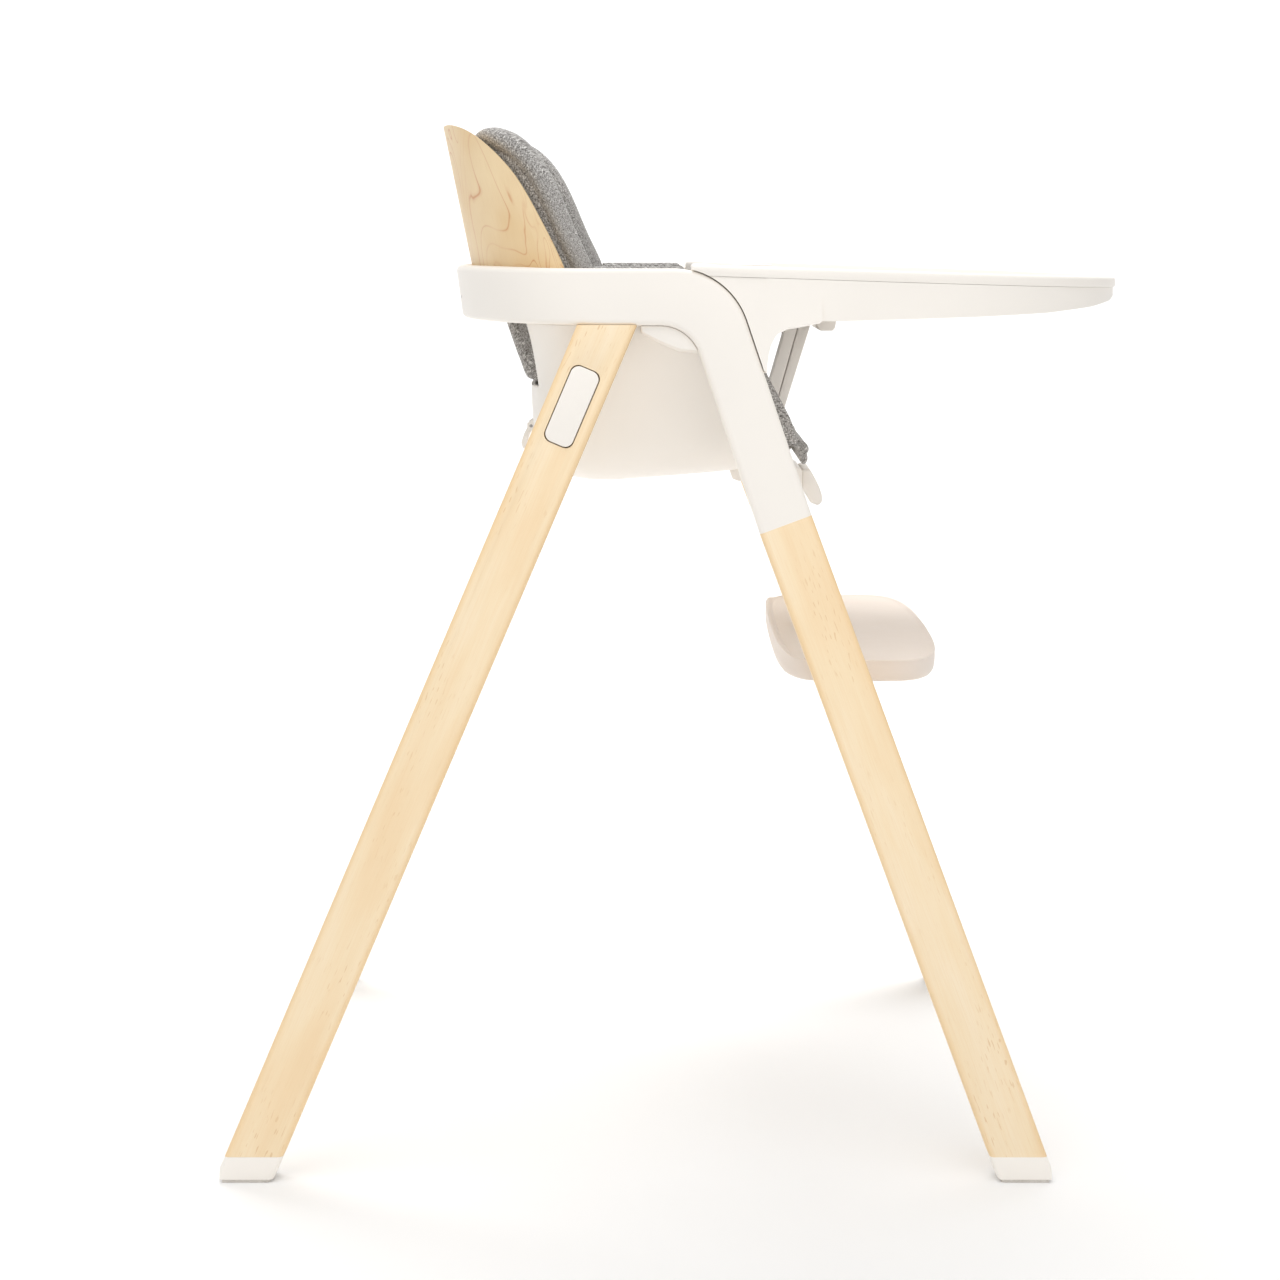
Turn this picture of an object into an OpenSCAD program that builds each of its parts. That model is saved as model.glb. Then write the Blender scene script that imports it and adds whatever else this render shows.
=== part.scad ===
// Baby high chair. A moulded hoop with two bent arms stands on four splayed wooden legs. It carries
// a bucket seat with a bentwood back and fabric pads, a tray that slides out between the arms, and
// a footrest that climbs a slanted stem.
// Frame: +X forwards, +Y to the child's left, +Z up. The origin is on the floor, in the middle.

/* [Hoop and arms] */
// Height of the hoop's top above the floor
ring_top = 756; // [750:1:760]
// Height of the hoop's band
ring_h = 46; // [44:1:48]
// Half of the hoop's outer width
ring_half_w = 235; // [233:1:237]
// Wall of the hoop at its sides
ring_side_wall = 28; // [27:1:30]
// Wall of the hoop behind the back panel
ring_rear_wall = 12; // [11:0.5:13]
// Outer radius of the bend from hoop to arm
arm_bend_r = 63; // [58:1:66]
// Inner radius of the bend from hoop to arm
arm_inner_r = 34; // [30:1:38]
// Forward rake of the arm, in degrees
arm_rake = 18.84; // [18.5:0.02:19.2]

/* [Legs] */
// Width of a leg, seen from the side
leg_w = 45; // [44:0.5:46]
// Thickness of a leg, across the chair
leg_t = 26; // [25:0.5:26]
// Rounding of a leg's long edges
leg_edge_r = 4; // [2:0.5:6]
// Outward splay of all four legs, in degrees
splay = 5; // [4.8:0.1:5.2]
// Backward rake of the rear legs, in degrees
rear_rake = 23.2; // [23:0.1:23.4]
// Forward rake of the front legs, in degrees
front_rake = 20.4; // [20.2:0.1:20.6]
// Height of the white caps on the feet
foot_h = 22; // [18:1:26]
// Thickness of the soles under the caps
sole_h = 3; // [2:0.5:4]

/* [Seat] */
// Wall of the seat shell
shell_t = 3.5; // [3:0.25:4]
// Backward lean of the back panel, in degrees
back_lean = 11.2; // [10.8:0.1:11.4]
// Thickness of the bentwood back panel
panel_t = 9; // [8:0.5:9]
// Thickness of the back pad
back_pad_t = 26; // [22:1:28]

/* [Tray] */
// Half of the tray's width
tray_half_w = 233; // [231:0.5:233]
// Downward slope of the tray towards its nose, in degrees
tray_slope = 1.85; // [1.75:0.05:1.95]
// Wall of the tray's base
tray_wall = 3.5; // [3:0.5:4]

/* [Footrest] */
// Height of the footrest's top above the floor, in its lowest place
footrest_z = 427; // [420:1:430]
// Half of the footrest's width
footrest_half_w = 200; // [190:1:205]
// Lean of the footrest's stem, in degrees
stem_lean = 11.3; // [11:0.1:11.6]

/* [Hidden] */
$fn = 48;
ring_bottom = ring_top - ring_h;
ring_cx = -68;            // centre of the hoop's rear curve
ring_a = 137.5;           // half-length of the hoop's rear curve
ring_front_x = -20;       // where the straight hoop hands over to the arms
ledge_w = 10;             // ledge inside the hoop that carries the back panel
ledge_h = 4;
ledge_front_x = -88;
arm_start_x = -38;        // the arms begin in front of the rear legs, inside the hoop
knee_z = 720;             // height at which a leg's outer face is flush with the hoop
arm_front_x = 33.6;       // where the arm's front line would meet the hoop's top
arm_rear_x = 2;           // where the arm's rear line would meet the hoop's underside
rear_leg_x = -61.8;       // centres of the legs at knee height
front_leg_x = 16.8;
seam_s = -184.4;          // joint between arm and front leg, along the leg from the knee
spigot_w = 24;
spigot_t = 12;
spigot_y = 7;
rear_spigot_end = -47;    // above the leg button's pocket
peg_r = 6;
peg_l = 15;
fit = 0.15;               // clearance round a part that is pushed home
bolt_r = 2;
bolt_gap = 0.06;
head_r = 4;
rear_toe_x = -390.5;
front_toe_x = 305;
button_s = -83;
button_l = 66;
button_w = 24;
button_d = 6;
button_out = 1;
button_pocket = 12;
window_half_w = 122;
window_z = 653;
lip_z = 600;
seat_mid_x = -60;         // the seat's widest place
seat_rise = 0.075;        // the seat's floor rises forwards by this much a millimetre
panel_a = 121;
panel_b = 205;
panel_gap = 1;
pad_b = 190;
pad_half_w = 118;
pad_gap = 0.5;
tray_rear_x = 10;
insert_rear_x = 3.5;      // the insert reaches back over the arms' bends
tray_top_z = 758.8;
tray_nose_x = 384;
insert_h = 9.2;
tray_bottom_z = 713;
tray_curve_x = 130;       // where the tray's sides start to curve in
tray_power = 2.4;
belly_r = 190;
belly_x = -124;
tray_body_half_w = 204;   // the part of the tray that passes between the arms
rail_y = 197;
rail_t = 7.5;
rail_z = 722;
rail_h = 16;
rail_rear_x = -80;
guide_rear_x = -88;
guide_front_x = 8;
guide_wall = 3;
guide_gap = 0.2;
latch_x = -72;
lever_x = 116;
lever_w = 19;
lever_travel = 8;
stem_x = 118;             // centre of the stem at the footrest's top
stem_w = 56;
stem_t = 18;
stem_gap = 0.4;
footrest_h = 18;
pivot_x = -139;           // pin of the strap lock
pivot_z = 612;
pin_r = 1.5;
far = 1000;

white = [0.97, 0.955, 0.93];
shade = [0.91, 0.87, 0.83];
maple = [0.95, 0.84, 0.66];
plywood = [0.92, 0.78, 0.58];
grey = [0.57, 0.56, 0.55];
steel = [0.62, 0.62, 0.64];
black = [0.13, 0.13, 0.14];

LEFT = 1;
RIGHT = -1;

// ---- Shared shapes ----

// An arc's points about [cx, cy], from one angle to another.
function arc(cx, cy, r, from, to, steps = 12) =
    [for (i = [0 : steps]) let (t = from + (to - from) * i / steps) [cx + r * cos(t), cy + r * sin(t)]];

function signed_power(v, p) = sign(v) * pow(abs(v), p);

// A rounded plan outline. Its widest place is at mid_x, and each end has its own squareness.
function plan(rear_x, mid_x, front_x, half_w, rear_power, front_power, steps = 48) =
    [for (i = [0 : steps - 1])
        let (t = 360 * i / steps,
             power = cos(t) < 0 ? rear_power : front_power,
             reach = cos(t) < 0 ? mid_x - rear_x : front_x - mid_x)
        [mid_x + reach * signed_power(cos(t), 2 / power), half_w * signed_power(sin(t), 2 / power)]];

// A solid through a stack of outlines that all have the same number of points.
module loft(rings) {
    count = len(rings[0]);
    last = len(rings) - 1;
    points = [for (ring = rings) each ring];
    sides = [for (k = [0 : last - 1], i = [0 : count - 1])
        let (j = (i + 1) % count)
        each [[k * count + i, (k + 1) * count + i, (k + 1) * count + j],
              [k * count + i, (k + 1) * count + j, k * count + j]]];
    bottom = [for (i = [1 : count - 2]) [0, i, i + 1]];
    top = [for (i = [1 : count - 2]) [last * count, last * count + i + 1, last * count + i]];
    polyhedron(points = points, faces = concat(sides, bottom, top));
}

module rounded_rect(w, h, r) {
    square([w - 2 * r, h], center = true);
    square([w, h - 2 * r], center = true);
    for (x = [-1, 1], y = [-1, 1]) translate([x * (w / 2 - r), y * (h / 2 - r)]) circle(r);
}

// A side profile in X and Z, thickened along Y from y0 to y1.
module side_extrude(y0, y1) {
    translate([0, y1, 0]) rotate([90, 0, 0]) linear_extrude(y1 - y0) children();
}

module slab(z0, z1) {
    translate([-far, -far, z0]) cube([2 * far, 2 * far, z1 - z0]);
}

// One side of the chair: y is 0 on the outer face and grows inwards, z is 0 at the knee.
module on_side(side) {
    mirror([0, side > 0 ? 1 : 0, 0])
        translate([0, -ring_half_w, knee_z]) rotate([-splay, 0, 0]) children();
}

module rear_leg_line() {
    translate([rear_leg_x, leg_t / 2, 0]) rotate([0, rear_rake, 0]) children();
}

module front_leg_line() {
    translate([front_leg_x, leg_t / 2, 0]) rotate([0, -front_rake, 0]) children();
}

module leg_bar(s0, s1, shrink = 0) {
    translate([0, 0, s0]) linear_extrude(s1 - s0)
        rounded_rect(leg_w - 2 * shrink, leg_t - 2 * shrink, leg_edge_r);
}

module spigot_bar(s0, s1, grow = 0) {
    translate([-spigot_w / 2 - grow, spigot_y - leg_t / 2 - grow, s0])
        cube([spigot_w + 2 * grow, spigot_t + 2 * grow, s1 - s0]);
}

// A bolt's shaft and head along +Z, with the head's underside at z = 0.
module bolt(l, grow = 0, head = 3) {
    translate([0, 0, -0.01]) cylinder(r = bolt_r + grow, h = l);
    translate([0, 0, -head]) cylinder(r = head_r + (grow > 0 ? 0.3 : 0), h = head);
}

// Closed rings in a row, standing for a coil spring along +Z.
module coil_spring(r, wire_r, l, turns) {
    for (i = [0 : turns - 1])
        translate([0, 0, wire_r + (l - 2 * wire_r) * i / (turns - 1)])
            rotate_extrude() translate([r, 0]) circle(wire_r, $fn = 24);
}

// ---- Hoop and arms ----

function half_loop(cx, a, b, steps = 36) =
    [for (i = [0 : steps]) let (t = -90 + 180 * i / steps) [cx - a * cos(t), b * sin(t)]];

module loop_outline(a, b, front_x) {
    polygon(concat([[front_x, -b]], half_loop(ring_cx, a, b), [[front_x, b]]));
}

inner_a = ring_a - ring_rear_wall;
inner_b = ring_half_w - ring_side_wall;
arm_top = (ring_top - knee_z) / cos(splay);
arm_under = (ring_bottom - knee_z) / cos(splay);
bend_x = arm_front_x - arm_bend_r * tan((90 - arm_rake) / 2);
inner_bend_x = arm_rear_x - arm_inner_r * tan((90 - arm_rake) / 2);

// The arm's front edge at a height z above the knee, measured on the side's own plane.
function arm_front(z) = arm_front_x + (arm_top - z) * tan(arm_rake);
function arm_rear(z) = arm_rear_x + (arm_under - z) * tan(arm_rake);

module arm_profile() {
    low = seam_s * cos(front_rake) - 4;
    half = leg_w / 2 * sin(front_rake);
    polygon(concat(
        [[arm_start_x, arm_top]],
        arc(bend_x, arm_top - arm_bend_r, arm_bend_r, 90, arm_rake),
        [[arm_front(low + half), low + half], [arm_rear(low - half), low - half]],
        arc(inner_bend_x, arm_under - arm_inner_r, arm_inner_r, arm_rake, 90),
        [[arm_start_x, arm_under]]));
}

module arm(side) {
    on_side(side) difference() {
        side_extrude(0, leg_t) arm_profile();
        // the seam is square to the front leg
        front_leg_line() translate([-leg_w, -leg_t, seam_s - 40]) cube([2 * leg_w, 2 * leg_t, 40]);
    }
}

// Where each bolt of a flange stands, and the height its head bears at.
ear_bolts = [[-30, -13], [-10, -20]];

module ear_bolt_at(side, grow = 0) {
    for (at = ear_bolts)
        on_side(side) translate([at[0], 14, at[1]]) bolt(4 - at[1], grow, grow > 0 ? 12 : 3);
}

panel_bolt_heights = [730, 744];

module panel_bolts_at(grow = 0) {
    for (side = [LEFT, RIGHT], z = panel_bolt_heights)
        translate([-178.5, side * 60, z]) rotate([0, -90, 0])
            bolt(19, grow, grow > 0 ? 16 : 2.5);
}

module ring_frame() {
    color(white) difference() {
        union() {
            translate([0, 0, ring_bottom]) linear_extrude(ring_h) difference() {
                loop_outline(ring_a, ring_half_w, ring_front_x);
                loop_outline(inner_a, inner_b, far);
            }
            translate([0, 0, ring_bottom]) linear_extrude(ledge_h) difference() {
                loop_outline(ring_a - 2, ring_half_w - 2, ledge_front_x);
                loop_outline(inner_a - ledge_w, inner_b - ledge_w, far);
            }
            arm(LEFT);
            arm(RIGHT);
        }
        for (side = [LEFT, RIGHT]) {
            on_side(side) rear_leg_line() spigot_bar(-30, 26 + fit, fit);
            on_side(side) front_leg_line() spigot_bar(seam_s - 5, seam_s + 45 + fit, fit);
            ear_bolt_at(side, bolt_gap);
        }
        panel_bolts_at(bolt_gap);
    }
}

module rail_guide(side) {
    y0 = rail_y - 0.5 - guide_wall;
    y1 = inner_b;
    z0 = rail_z - 0.3 - guide_wall;
    color(shade) intersection() {
        mirror([0, side > 0 ? 0 : 1, 0]) difference() {
            translate([guide_rear_x, y0, z0])
                cube([guide_front_x - guide_rear_x, y1 - y0, rail_h + 0.6 + 2 * guide_wall]);
            translate([guide_rear_x + guide_wall, y0 + guide_wall, z0 + guide_wall])
                cube([far, far, rail_h + 0.6]);
        }
        translate([0, 0, ring_bottom]) linear_extrude(ring_h)
            loop_outline(inner_a - guide_gap, inner_b - guide_gap, far);
    }
}

// ---- Legs and feet ----

module button_prism(s_grow, y0, y1) {
    translate([0, y0 - leg_t / 2, button_s]) rotate([-90, 0, 0]) linear_extrude(y1 - y0)
        rounded_rect(button_w + 2 * s_grow, button_l + 2 * s_grow, 7);
}

module spigot_bolt_at(s, grow = 0) {
    translate([0, leg_t / 2 - 3, s]) rotate([90, 0, 0]) bolt(15, grow, grow > 0 ? 8 : 2.5);
}

rear_bolt_s = -35;
front_bolt_s = seam_s - 30;

// Length along a raked, splayed leg from the knee down to a height above the floor.
function leg_reach(z, rake) = -(knee_z - z) / cos(splay) / cos(rake);

module rear_leg(side) {
    color(maple) difference() {
        intersection() {
            on_side(side) rear_leg_line() leg_bar(-820, 20);
            slab(foot_h, ring_bottom);
        }
        on_side(side) rear_leg_line() {
            spigot_bar(rear_spigot_end - fit, 40, fit);
            button_prism(0.8, -5, button_pocket);
            spigot_bolt_at(rear_bolt_s, bolt_gap);
            translate([0, 0, leg_reach(foot_h, rear_rake) - 30]) cylinder(r = peg_r + fit, h = 30 + peg_l + fit);
        }
    }
}

module front_leg(side) {
    color(maple) difference() {
        intersection() {
            on_side(side) front_leg_line() leg_bar(-820, seam_s);
            slab(foot_h, ring_bottom);
        }
        on_side(side) front_leg_line() {
            spigot_bar(seam_s - 60 - fit, seam_s + 5, fit);
            spigot_bolt_at(front_bolt_s, bolt_gap);
            translate([0, 0, leg_reach(foot_h, front_rake) - 30]) cylinder(r = peg_r + fit, h = 30 + peg_l + fit);
        }
    }
}

module rear_spigot(side) {
    color(steel) on_side(side) rear_leg_line() difference() {
        spigot_bar(rear_spigot_end, 26);
        spigot_bolt_at(rear_bolt_s, bolt_gap);
    }
}

module front_spigot(side) {
    color(steel) on_side(side) front_leg_line() difference() {
        spigot_bar(seam_s - 60, seam_s + 45);
        spigot_bolt_at(front_bolt_s, bolt_gap);
    }
}

module spigot_screws() {
    color(steel) for (side = [LEFT, RIGHT]) {
        on_side(side) rear_leg_line() spigot_bolt_at(rear_bolt_s);
        on_side(side) front_leg_line() spigot_bolt_at(front_bolt_s);
    }
}

module rear_foot(side) {
    color(white) intersection() {
        union() {
            intersection() {
                on_side(side) rear_leg_line() leg_bar(-840, -700);
                slab(sole_h, foot_h);
            }
            on_side(side) rear_leg_line()
                translate([0, 0, leg_reach(foot_h, rear_rake) - 8]) cylinder(r = peg_r, h = 8 + peg_l);
        }
        translate([rear_toe_x, -far, sole_h]) cube([far, 2 * far, far]);
    }
}

module front_foot(side) {
    color(white) intersection() {
        union() {
            intersection() {
                on_side(side) front_leg_line() leg_bar(-840, -700);
                slab(sole_h, foot_h);
            }
            on_side(side) front_leg_line()
                translate([0, 0, leg_reach(foot_h, front_rake) - 8]) cylinder(r = peg_r, h = 8 + peg_l);
        }
        translate([front_toe_x - far, -far, sole_h]) cube([far, 2 * far, far]);
    }
}

module rear_sole(side) {
    color(shade) intersection() {
        on_side(side) rear_leg_line() leg_bar(-840, -700, 1.5);
        translate([rear_toe_x + 2, -far, 0]) cube([far, 2 * far, sole_h]);
    }
}

module front_sole(side) {
    color(shade) intersection() {
        on_side(side) front_leg_line() leg_bar(-840, -700, 1.5);
        translate([front_toe_x - 2 - far, -far, 0]) cube([far, 2 * far, sole_h]);
    }
}

module leg_button(side) {
    color(white) on_side(side) rear_leg_line() button_prism(0, -button_out, button_d - button_out);
}

module leg_button_spring(side) {
    y0 = button_d - button_out + 0.05;
    color(steel) on_side(side) rear_leg_line()
        translate([0, y0 - leg_t / 2, button_s]) rotate([-90, 0, 0])
            coil_spring(6, 0.6, button_pocket - y0 - 0.05, 4);
}

// ---- Seat ----

// Shell levels: height, rear, front, half-width, front squareness, share of the seat's rise.
shell_levels = [
    [574, -78, 70, 100, 4, 1],
    [576.5, -103, 86, 122, 4, 1],
    [584, -119, 93, 138, 5, 1],
    [600, -128, 97, 149, 8, 0.6],
    [622, -132.8, 98, 156, 14, 0.2],
    [660, -134, 98, 168, 14, 0],
    [690, -137, 98, 181, 14, 0],
    [709.5, -141, 98, 190, 14, 0]
];
rear_power = 3.2;

function shell_ring(level, inset, lift) =
    [for (p = plan(level[1] + inset, seat_mid_x, level[2] - inset, level[3] - inset,
                   rear_power, level[4]))
        [p[0], p[1], level[0] + lift + level[5] * seat_rise * (p[0] - level[1] - 13)]];

module shell_skin(inset, lift, extra_top) {
    top = shell_levels[len(shell_levels) - 1];
    loft(concat(
        [for (level = shell_levels) shell_ring(level, inset, lift)],
        extra_top > 0 ? [shell_ring(top, inset, lift + extra_top)] : []));
}

function row_z(z) = (z - knee_z) / cos(splay);

module ear(side) {
    gap = 0.2;
    on_side(side) side_extrude(6, 52) polygon(concat(
        [[-38, arm_under - gap]],
        arc(inner_bend_x, arm_under - arm_inner_r, arm_inner_r - gap, 90, 27, 8),
        [[8.2, row_z(689.5)], [-6, row_z(690.5)], [-22, row_z(697)], [-32, row_z(702)], [-38, row_z(705)]]));
}

module seat_shell() {
    color(white) difference() {
        union() {
            difference() {
                shell_skin(0, 0, 0);
                shell_skin(shell_t, shell_t, 12);
            }
            difference() {
                union() {
                    ear(LEFT);
                    ear(RIGHT);
                }
                shell_skin(shell_t, shell_t, 30);
            }
        }
        // leg opening, its edge parallel with the arms
        side_extrude(-far, far) polygon([
            [arm_front(row_z(lip_z)) - 8, lip_z], [arm_front(row_z(ring_top)) - 8, ring_top],
            [far, ring_top], [far, lip_z]]);
        // window behind the back pad
        translate([-far, -window_half_w, window_z]) cube([far - 90, 2 * window_half_w, far]);
        ear_bolt_at(LEFT, bolt_gap);
        ear_bolt_at(RIGHT, bolt_gap);
        housing_bolts_at(bolt_gap);
    }
}

module shell_screws() {
    color(steel) for (side = [LEFT, RIGHT]) ear_bolt_at(side);
}

module leaning_tube(a, b, wall) {
    translate([ring_cx, 0, ring_top]) rotate([0, -back_lean, 0]) translate([0, 0, -200])
        linear_extrude(400) difference() {
            scaled_loop(a, b, 0);
            scaled_loop(a - wall, b - wall, far);
        }
}

module scaled_loop(a, b, front_x) {
    polygon(concat([[front_x, -b]], half_loop(0, a, b), [[front_x, b]]));
}

// The back's side edge, from the arch at the top down into the hoop.
panel_edge = [
    [-217, 877], [-206, 877], [-194.4, 874], [-182, 868], [-170.3, 859.5], [-157, 847.5],
    [-140.3, 828], [-119.5, 792], [-101.9, 756], [-90, 720], [-90, ring_bottom + ledge_h + 0.2]
];

module back_panel() {
    color(plywood) difference() {
        intersection() {
            leaning_tube(panel_a, panel_b, panel_t);
            side_extrude(-far, far) polygon(concat(
                panel_edge, [[-240, ring_bottom + ledge_h + 0.2], [-240, 877]]));
        }
        panel_bolts_at(bolt_gap * 2);
    }
}

module panel_screws() {
    color(steel) panel_bolts_at();
}

// ---- Pads ----

pad_edge = [
    [-200, 872], [-184, 878.5], [-172, 880], [-158, 876], [-142, 867], [-125.5, 850],
    [-109, 823], [-93, 787], [-77, 756], [-66, 716]
];

module back_pad() {
    color(grey) union() {
        intersection() {
            leaning_tube(panel_a - panel_t - panel_gap, pad_b, back_pad_t);
            side_extrude(-far, far) polygon(concat(pad_edge, [[-240, 716], [-240, 873]]));
        }
        side_extrude(-92, 92) polygon([
            [-120, 610], [-122.5, 653.6], [-139, 656.8], [-155.5, 703], [-163, 726], [-138, 730],
            [-128, 703], [-104, 650], [-94, 610]]);
    }
}

// Half-width of the room inside the shell, by height, for the pad's wings.
wing_outer = [[141, 603], [149, 622], [161, 660], [174, 690], [183, 709.5], [188, 730], [188, 758]];
wing_t = 13;

module wing(side) {
    inner = [for (i = [len(wing_outer) - 1 : -1 : 0]) [wing_outer[i][0] - wing_t, wing_outer[i][1]]];
    intersection() {
        mirror([0, side > 0 ? 0 : 1, 0]) translate([-58, 0, 0]) rotate([90, 0, 90])
            linear_extrude(200) polygon(concat(wing_outer, inner));
        side_extrude(-far, far) polygon([
            [-58, 600], [-58, 758], [-5, 758], [2, 748], [7, 744], [7, 708], [49, 706], [65.5, 672],
            [89, 626], [92, 612], [92, 600]]);
    }
}

module seat_pad() {
    color(grey) union() {
        intersection() {
            union() {
                side_extrude(-140, 140) polygon([[-92, 580], [92, 580], [92, 612], [-92, 606]]);
                wing(LEFT);
                wing(RIGHT);
            }
            shell_skin(shell_t + pad_gap, shell_t + pad_gap, 60);
        }
        // front roll, over the shell's lip
        side_extrude(-pad_half_w, pad_half_w) polygon([
            [84, 600.6], [98.6, 600.6], [98.6, 581], [103, 577.5], [110.9, 577.5], [111.7, 588.5],
            [111.6, 599.5], [108.8, 605], [102.4, 610.5], [92, 612], [84, 611.7]]);
    }
}

// ---- Harness ----

function unit(v) = v / norm(v);
function turned(v) = [-v[1], v[0]];
function path_normal(path, i) =
    turned(unit(unit(path[min(i + 1, len(path) - 1)] - path[i] + [0.0001, 0])
        + unit(path[i] - path[max(i - 1, 0)] + [0.0001, 0])));

// A flat band of webbing: a side-view path, thickened to one side and widened along Y.
module webbing(path, t, y0, y1) {
    side_extrude(y0, y1) polygon(concat(
        path,
        [for (i = [len(path) - 1 : -1 : 0]) path[i] + t * path_normal(path, i)]));
}

strap_t = 1.6;
strap_w = 24;
strap_y = 45;
shoulder_path = [
    [-50, 611.6], [-84, 610.6], [-91.5, 614], [-101.5, 650], [-125.5, 703], [-134, 732],
    [-146, 760], [-155, 800]
];

module shoulder_strap(side) {
    y = side * strap_y;
    color(black) webbing(shoulder_path, -strap_t, y - strap_w / 2, y + strap_w / 2);
}

pad_tilt = atan(6 / 184);

module on_seat() {
    translate([-92, 0, 606.5]) rotate([0, -pad_tilt, 0]) children();
}

module lap_strap(side) {
    color(black) mirror([0, side > 0 ? 0 : 1, 0]) on_seat() linear_extrude(strap_t)
        polygon([[30, 110], [54, 110], [116, 20], [88, 20]]);
}

module crotch_strap() {
    color(black) on_seat() translate([135, -strap_w / 2, 0]) cube([22, strap_w, strap_t]);
}

module harness_buckle() {
    color(black) on_seat() translate([109, 0, 2]) difference() {
        linear_extrude(12) rounded_rect(50, 46, 10);
        translate([0, 0, 7]) cylinder(r = 10 + 0.3, h = 10);
    }
}

module buckle_button() {
    color(grey) on_seat() translate([109, 0, 11]) cylinder(r = 10, h = 4);
}

// ---- Strap lock ----

module strap_lock_base() {
    color(white) difference() {
        side_extrude(-19, 19) polygon([
            [-128.5, 600], [-133.2, 622], [-137, 618], [-142.5, 614.5], [-142.5, 609.5], [-137, 606]]);
        side_extrude(-15.2, 15.2) polygon([[-135.8, far], [-far, far], [-far, 0], [-135.8, 0]]);
        side_extrude(-20, 20) translate([pivot_x, pivot_z]) circle(pin_r);
    }
}

module strap_lock_lever() {
    color(white) difference() {
        union() {
            side_extrude(-14.8, 14.8) translate([pivot_x, pivot_z]) circle(2.8);
            side_extrude(-14.8, 14.8) polygon([
                [-141.6, 612.6], [-137.4, 610.6], [-142.2, 601], [-143.4, 596], [-143.2, 591.8],
                [-146.7, 591], [-148.3, 596.5], [-145.8, 604.5]]);
        }
        side_extrude(-20, 20) translate([pivot_x, pivot_z]) circle(pin_r + bolt_gap);
    }
}

module strap_lock_pin() {
    color(steel) side_extrude(-19, 19) translate([pivot_x, pivot_z]) circle(pin_r);
}

// ---- Tray ----

tray_seam_z = tray_top_z - insert_h;
function tray_drop(x) = (x - tray_rear_x) * tan(tray_slope);

// Plan of the tray: straight sides, then one full curve round the nose.
function tray_plan(nose_x, half_w, rear_x, steps = 40) = concat(
    [[rear_x, -half_w]],
    [for (i = [0 : steps])
        let (t = -90 + 180 * i / steps)
        [tray_curve_x + (nose_x - tray_curve_x) * signed_power(cos(t), 2 / tray_power),
         half_w * signed_power(sin(t), 2 / tray_power)]],
    [[rear_x, half_w]]);

arm_gap = 0.6;

// Lower edge of the tray where it sits on and in front of an arm, in the side's own plane.
module skirt_profile() {
    polygon(concat(
        arc(bend_x, arm_top - arm_bend_r, arm_bend_r + arm_gap, 75, arm_rake, 12),
        [[arm_front(row_z(673)) + arm_gap, row_z(673)]],
        [[arm_front(row_z(673)) + 3, row_z(672)], [65.4, row_z(678)], [66.4, row_z(686)],
         [68.4, row_z(693.8)], [71.8, row_z(700.4)], [76.4, row_z(705)], [83.3, row_z(708)],
         [93.1, row_z(709.6)], [110, row_z(tray_bottom_z)],
         [110, row_z(tray_seam_z + 6)]]));
}

module skirt(side) {
    intersection() {
        on_side(side) side_extrude(0.5, leg_t + 6) skirt_profile();
        side_extrude(-300, 300) polygon([
            [-5, 600], [120, 600], [120, tray_seam_z - tray_drop(120)],
            [-5, tray_seam_z - tray_drop(-5)]]);
    }
}

tray_shoulder_x = 64;     // in front of this the tray is as wide as the hoop
base_nose_x = 382;

// The base's plan: narrow between the arms, then full width.
module tray_base_plan() {
    outer = tray_plan(base_nose_x, tray_half_w, tray_shoulder_x);
    polygon(concat(
        [[tray_rear_x, -tray_body_half_w], [tray_shoulder_x, -tray_body_half_w]],
        outer,
        [[tray_shoulder_x, tray_body_half_w], [tray_rear_x, tray_body_half_w]]));
}

// The base's underside, rising to the nose.
function tray_belly(inset) = [
    [128, tray_bottom_z + inset], [245, tray_bottom_z + 3.3 + inset],
    [300, tray_bottom_z + 5.5 + inset], [345 - inset / 2, tray_bottom_z + 9.6 + inset],
    [368 - inset, tray_bottom_z + 13.7 + inset], [379 - inset, tray_bottom_z + 18 + inset]];

module tray_solid() {
    intersection() {
        translate([0, 0, 600]) linear_extrude(200) tray_base_plan();
        side_extrude(-300, 300) polygon(concat(
            [[-5, tray_bottom_z]], tray_belly(0),
            [[400, tray_bottom_z + 20], [400, tray_seam_z - tray_drop(400)],
             [-5, tray_seam_z - tray_drop(-5)]]));
    }
}

module tray_hollow() {
    difference() {
        intersection() {
            translate([0, 0, 600]) linear_extrude(200)
                polygon(tray_plan(base_nose_x - tray_wall, tray_half_w - tray_wall, 70));
            side_extrude(-300, 300) polygon(concat(
                [[40, tray_bottom_z + tray_wall]], tray_belly(tray_wall),
                [[400, tray_bottom_z + 23], [400, 780], [40, 780]]));
        }
        translate([belly_x, 0, 500]) cylinder(r = belly_r + tray_wall, h = 400, $fn = 96);
    }
}

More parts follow.
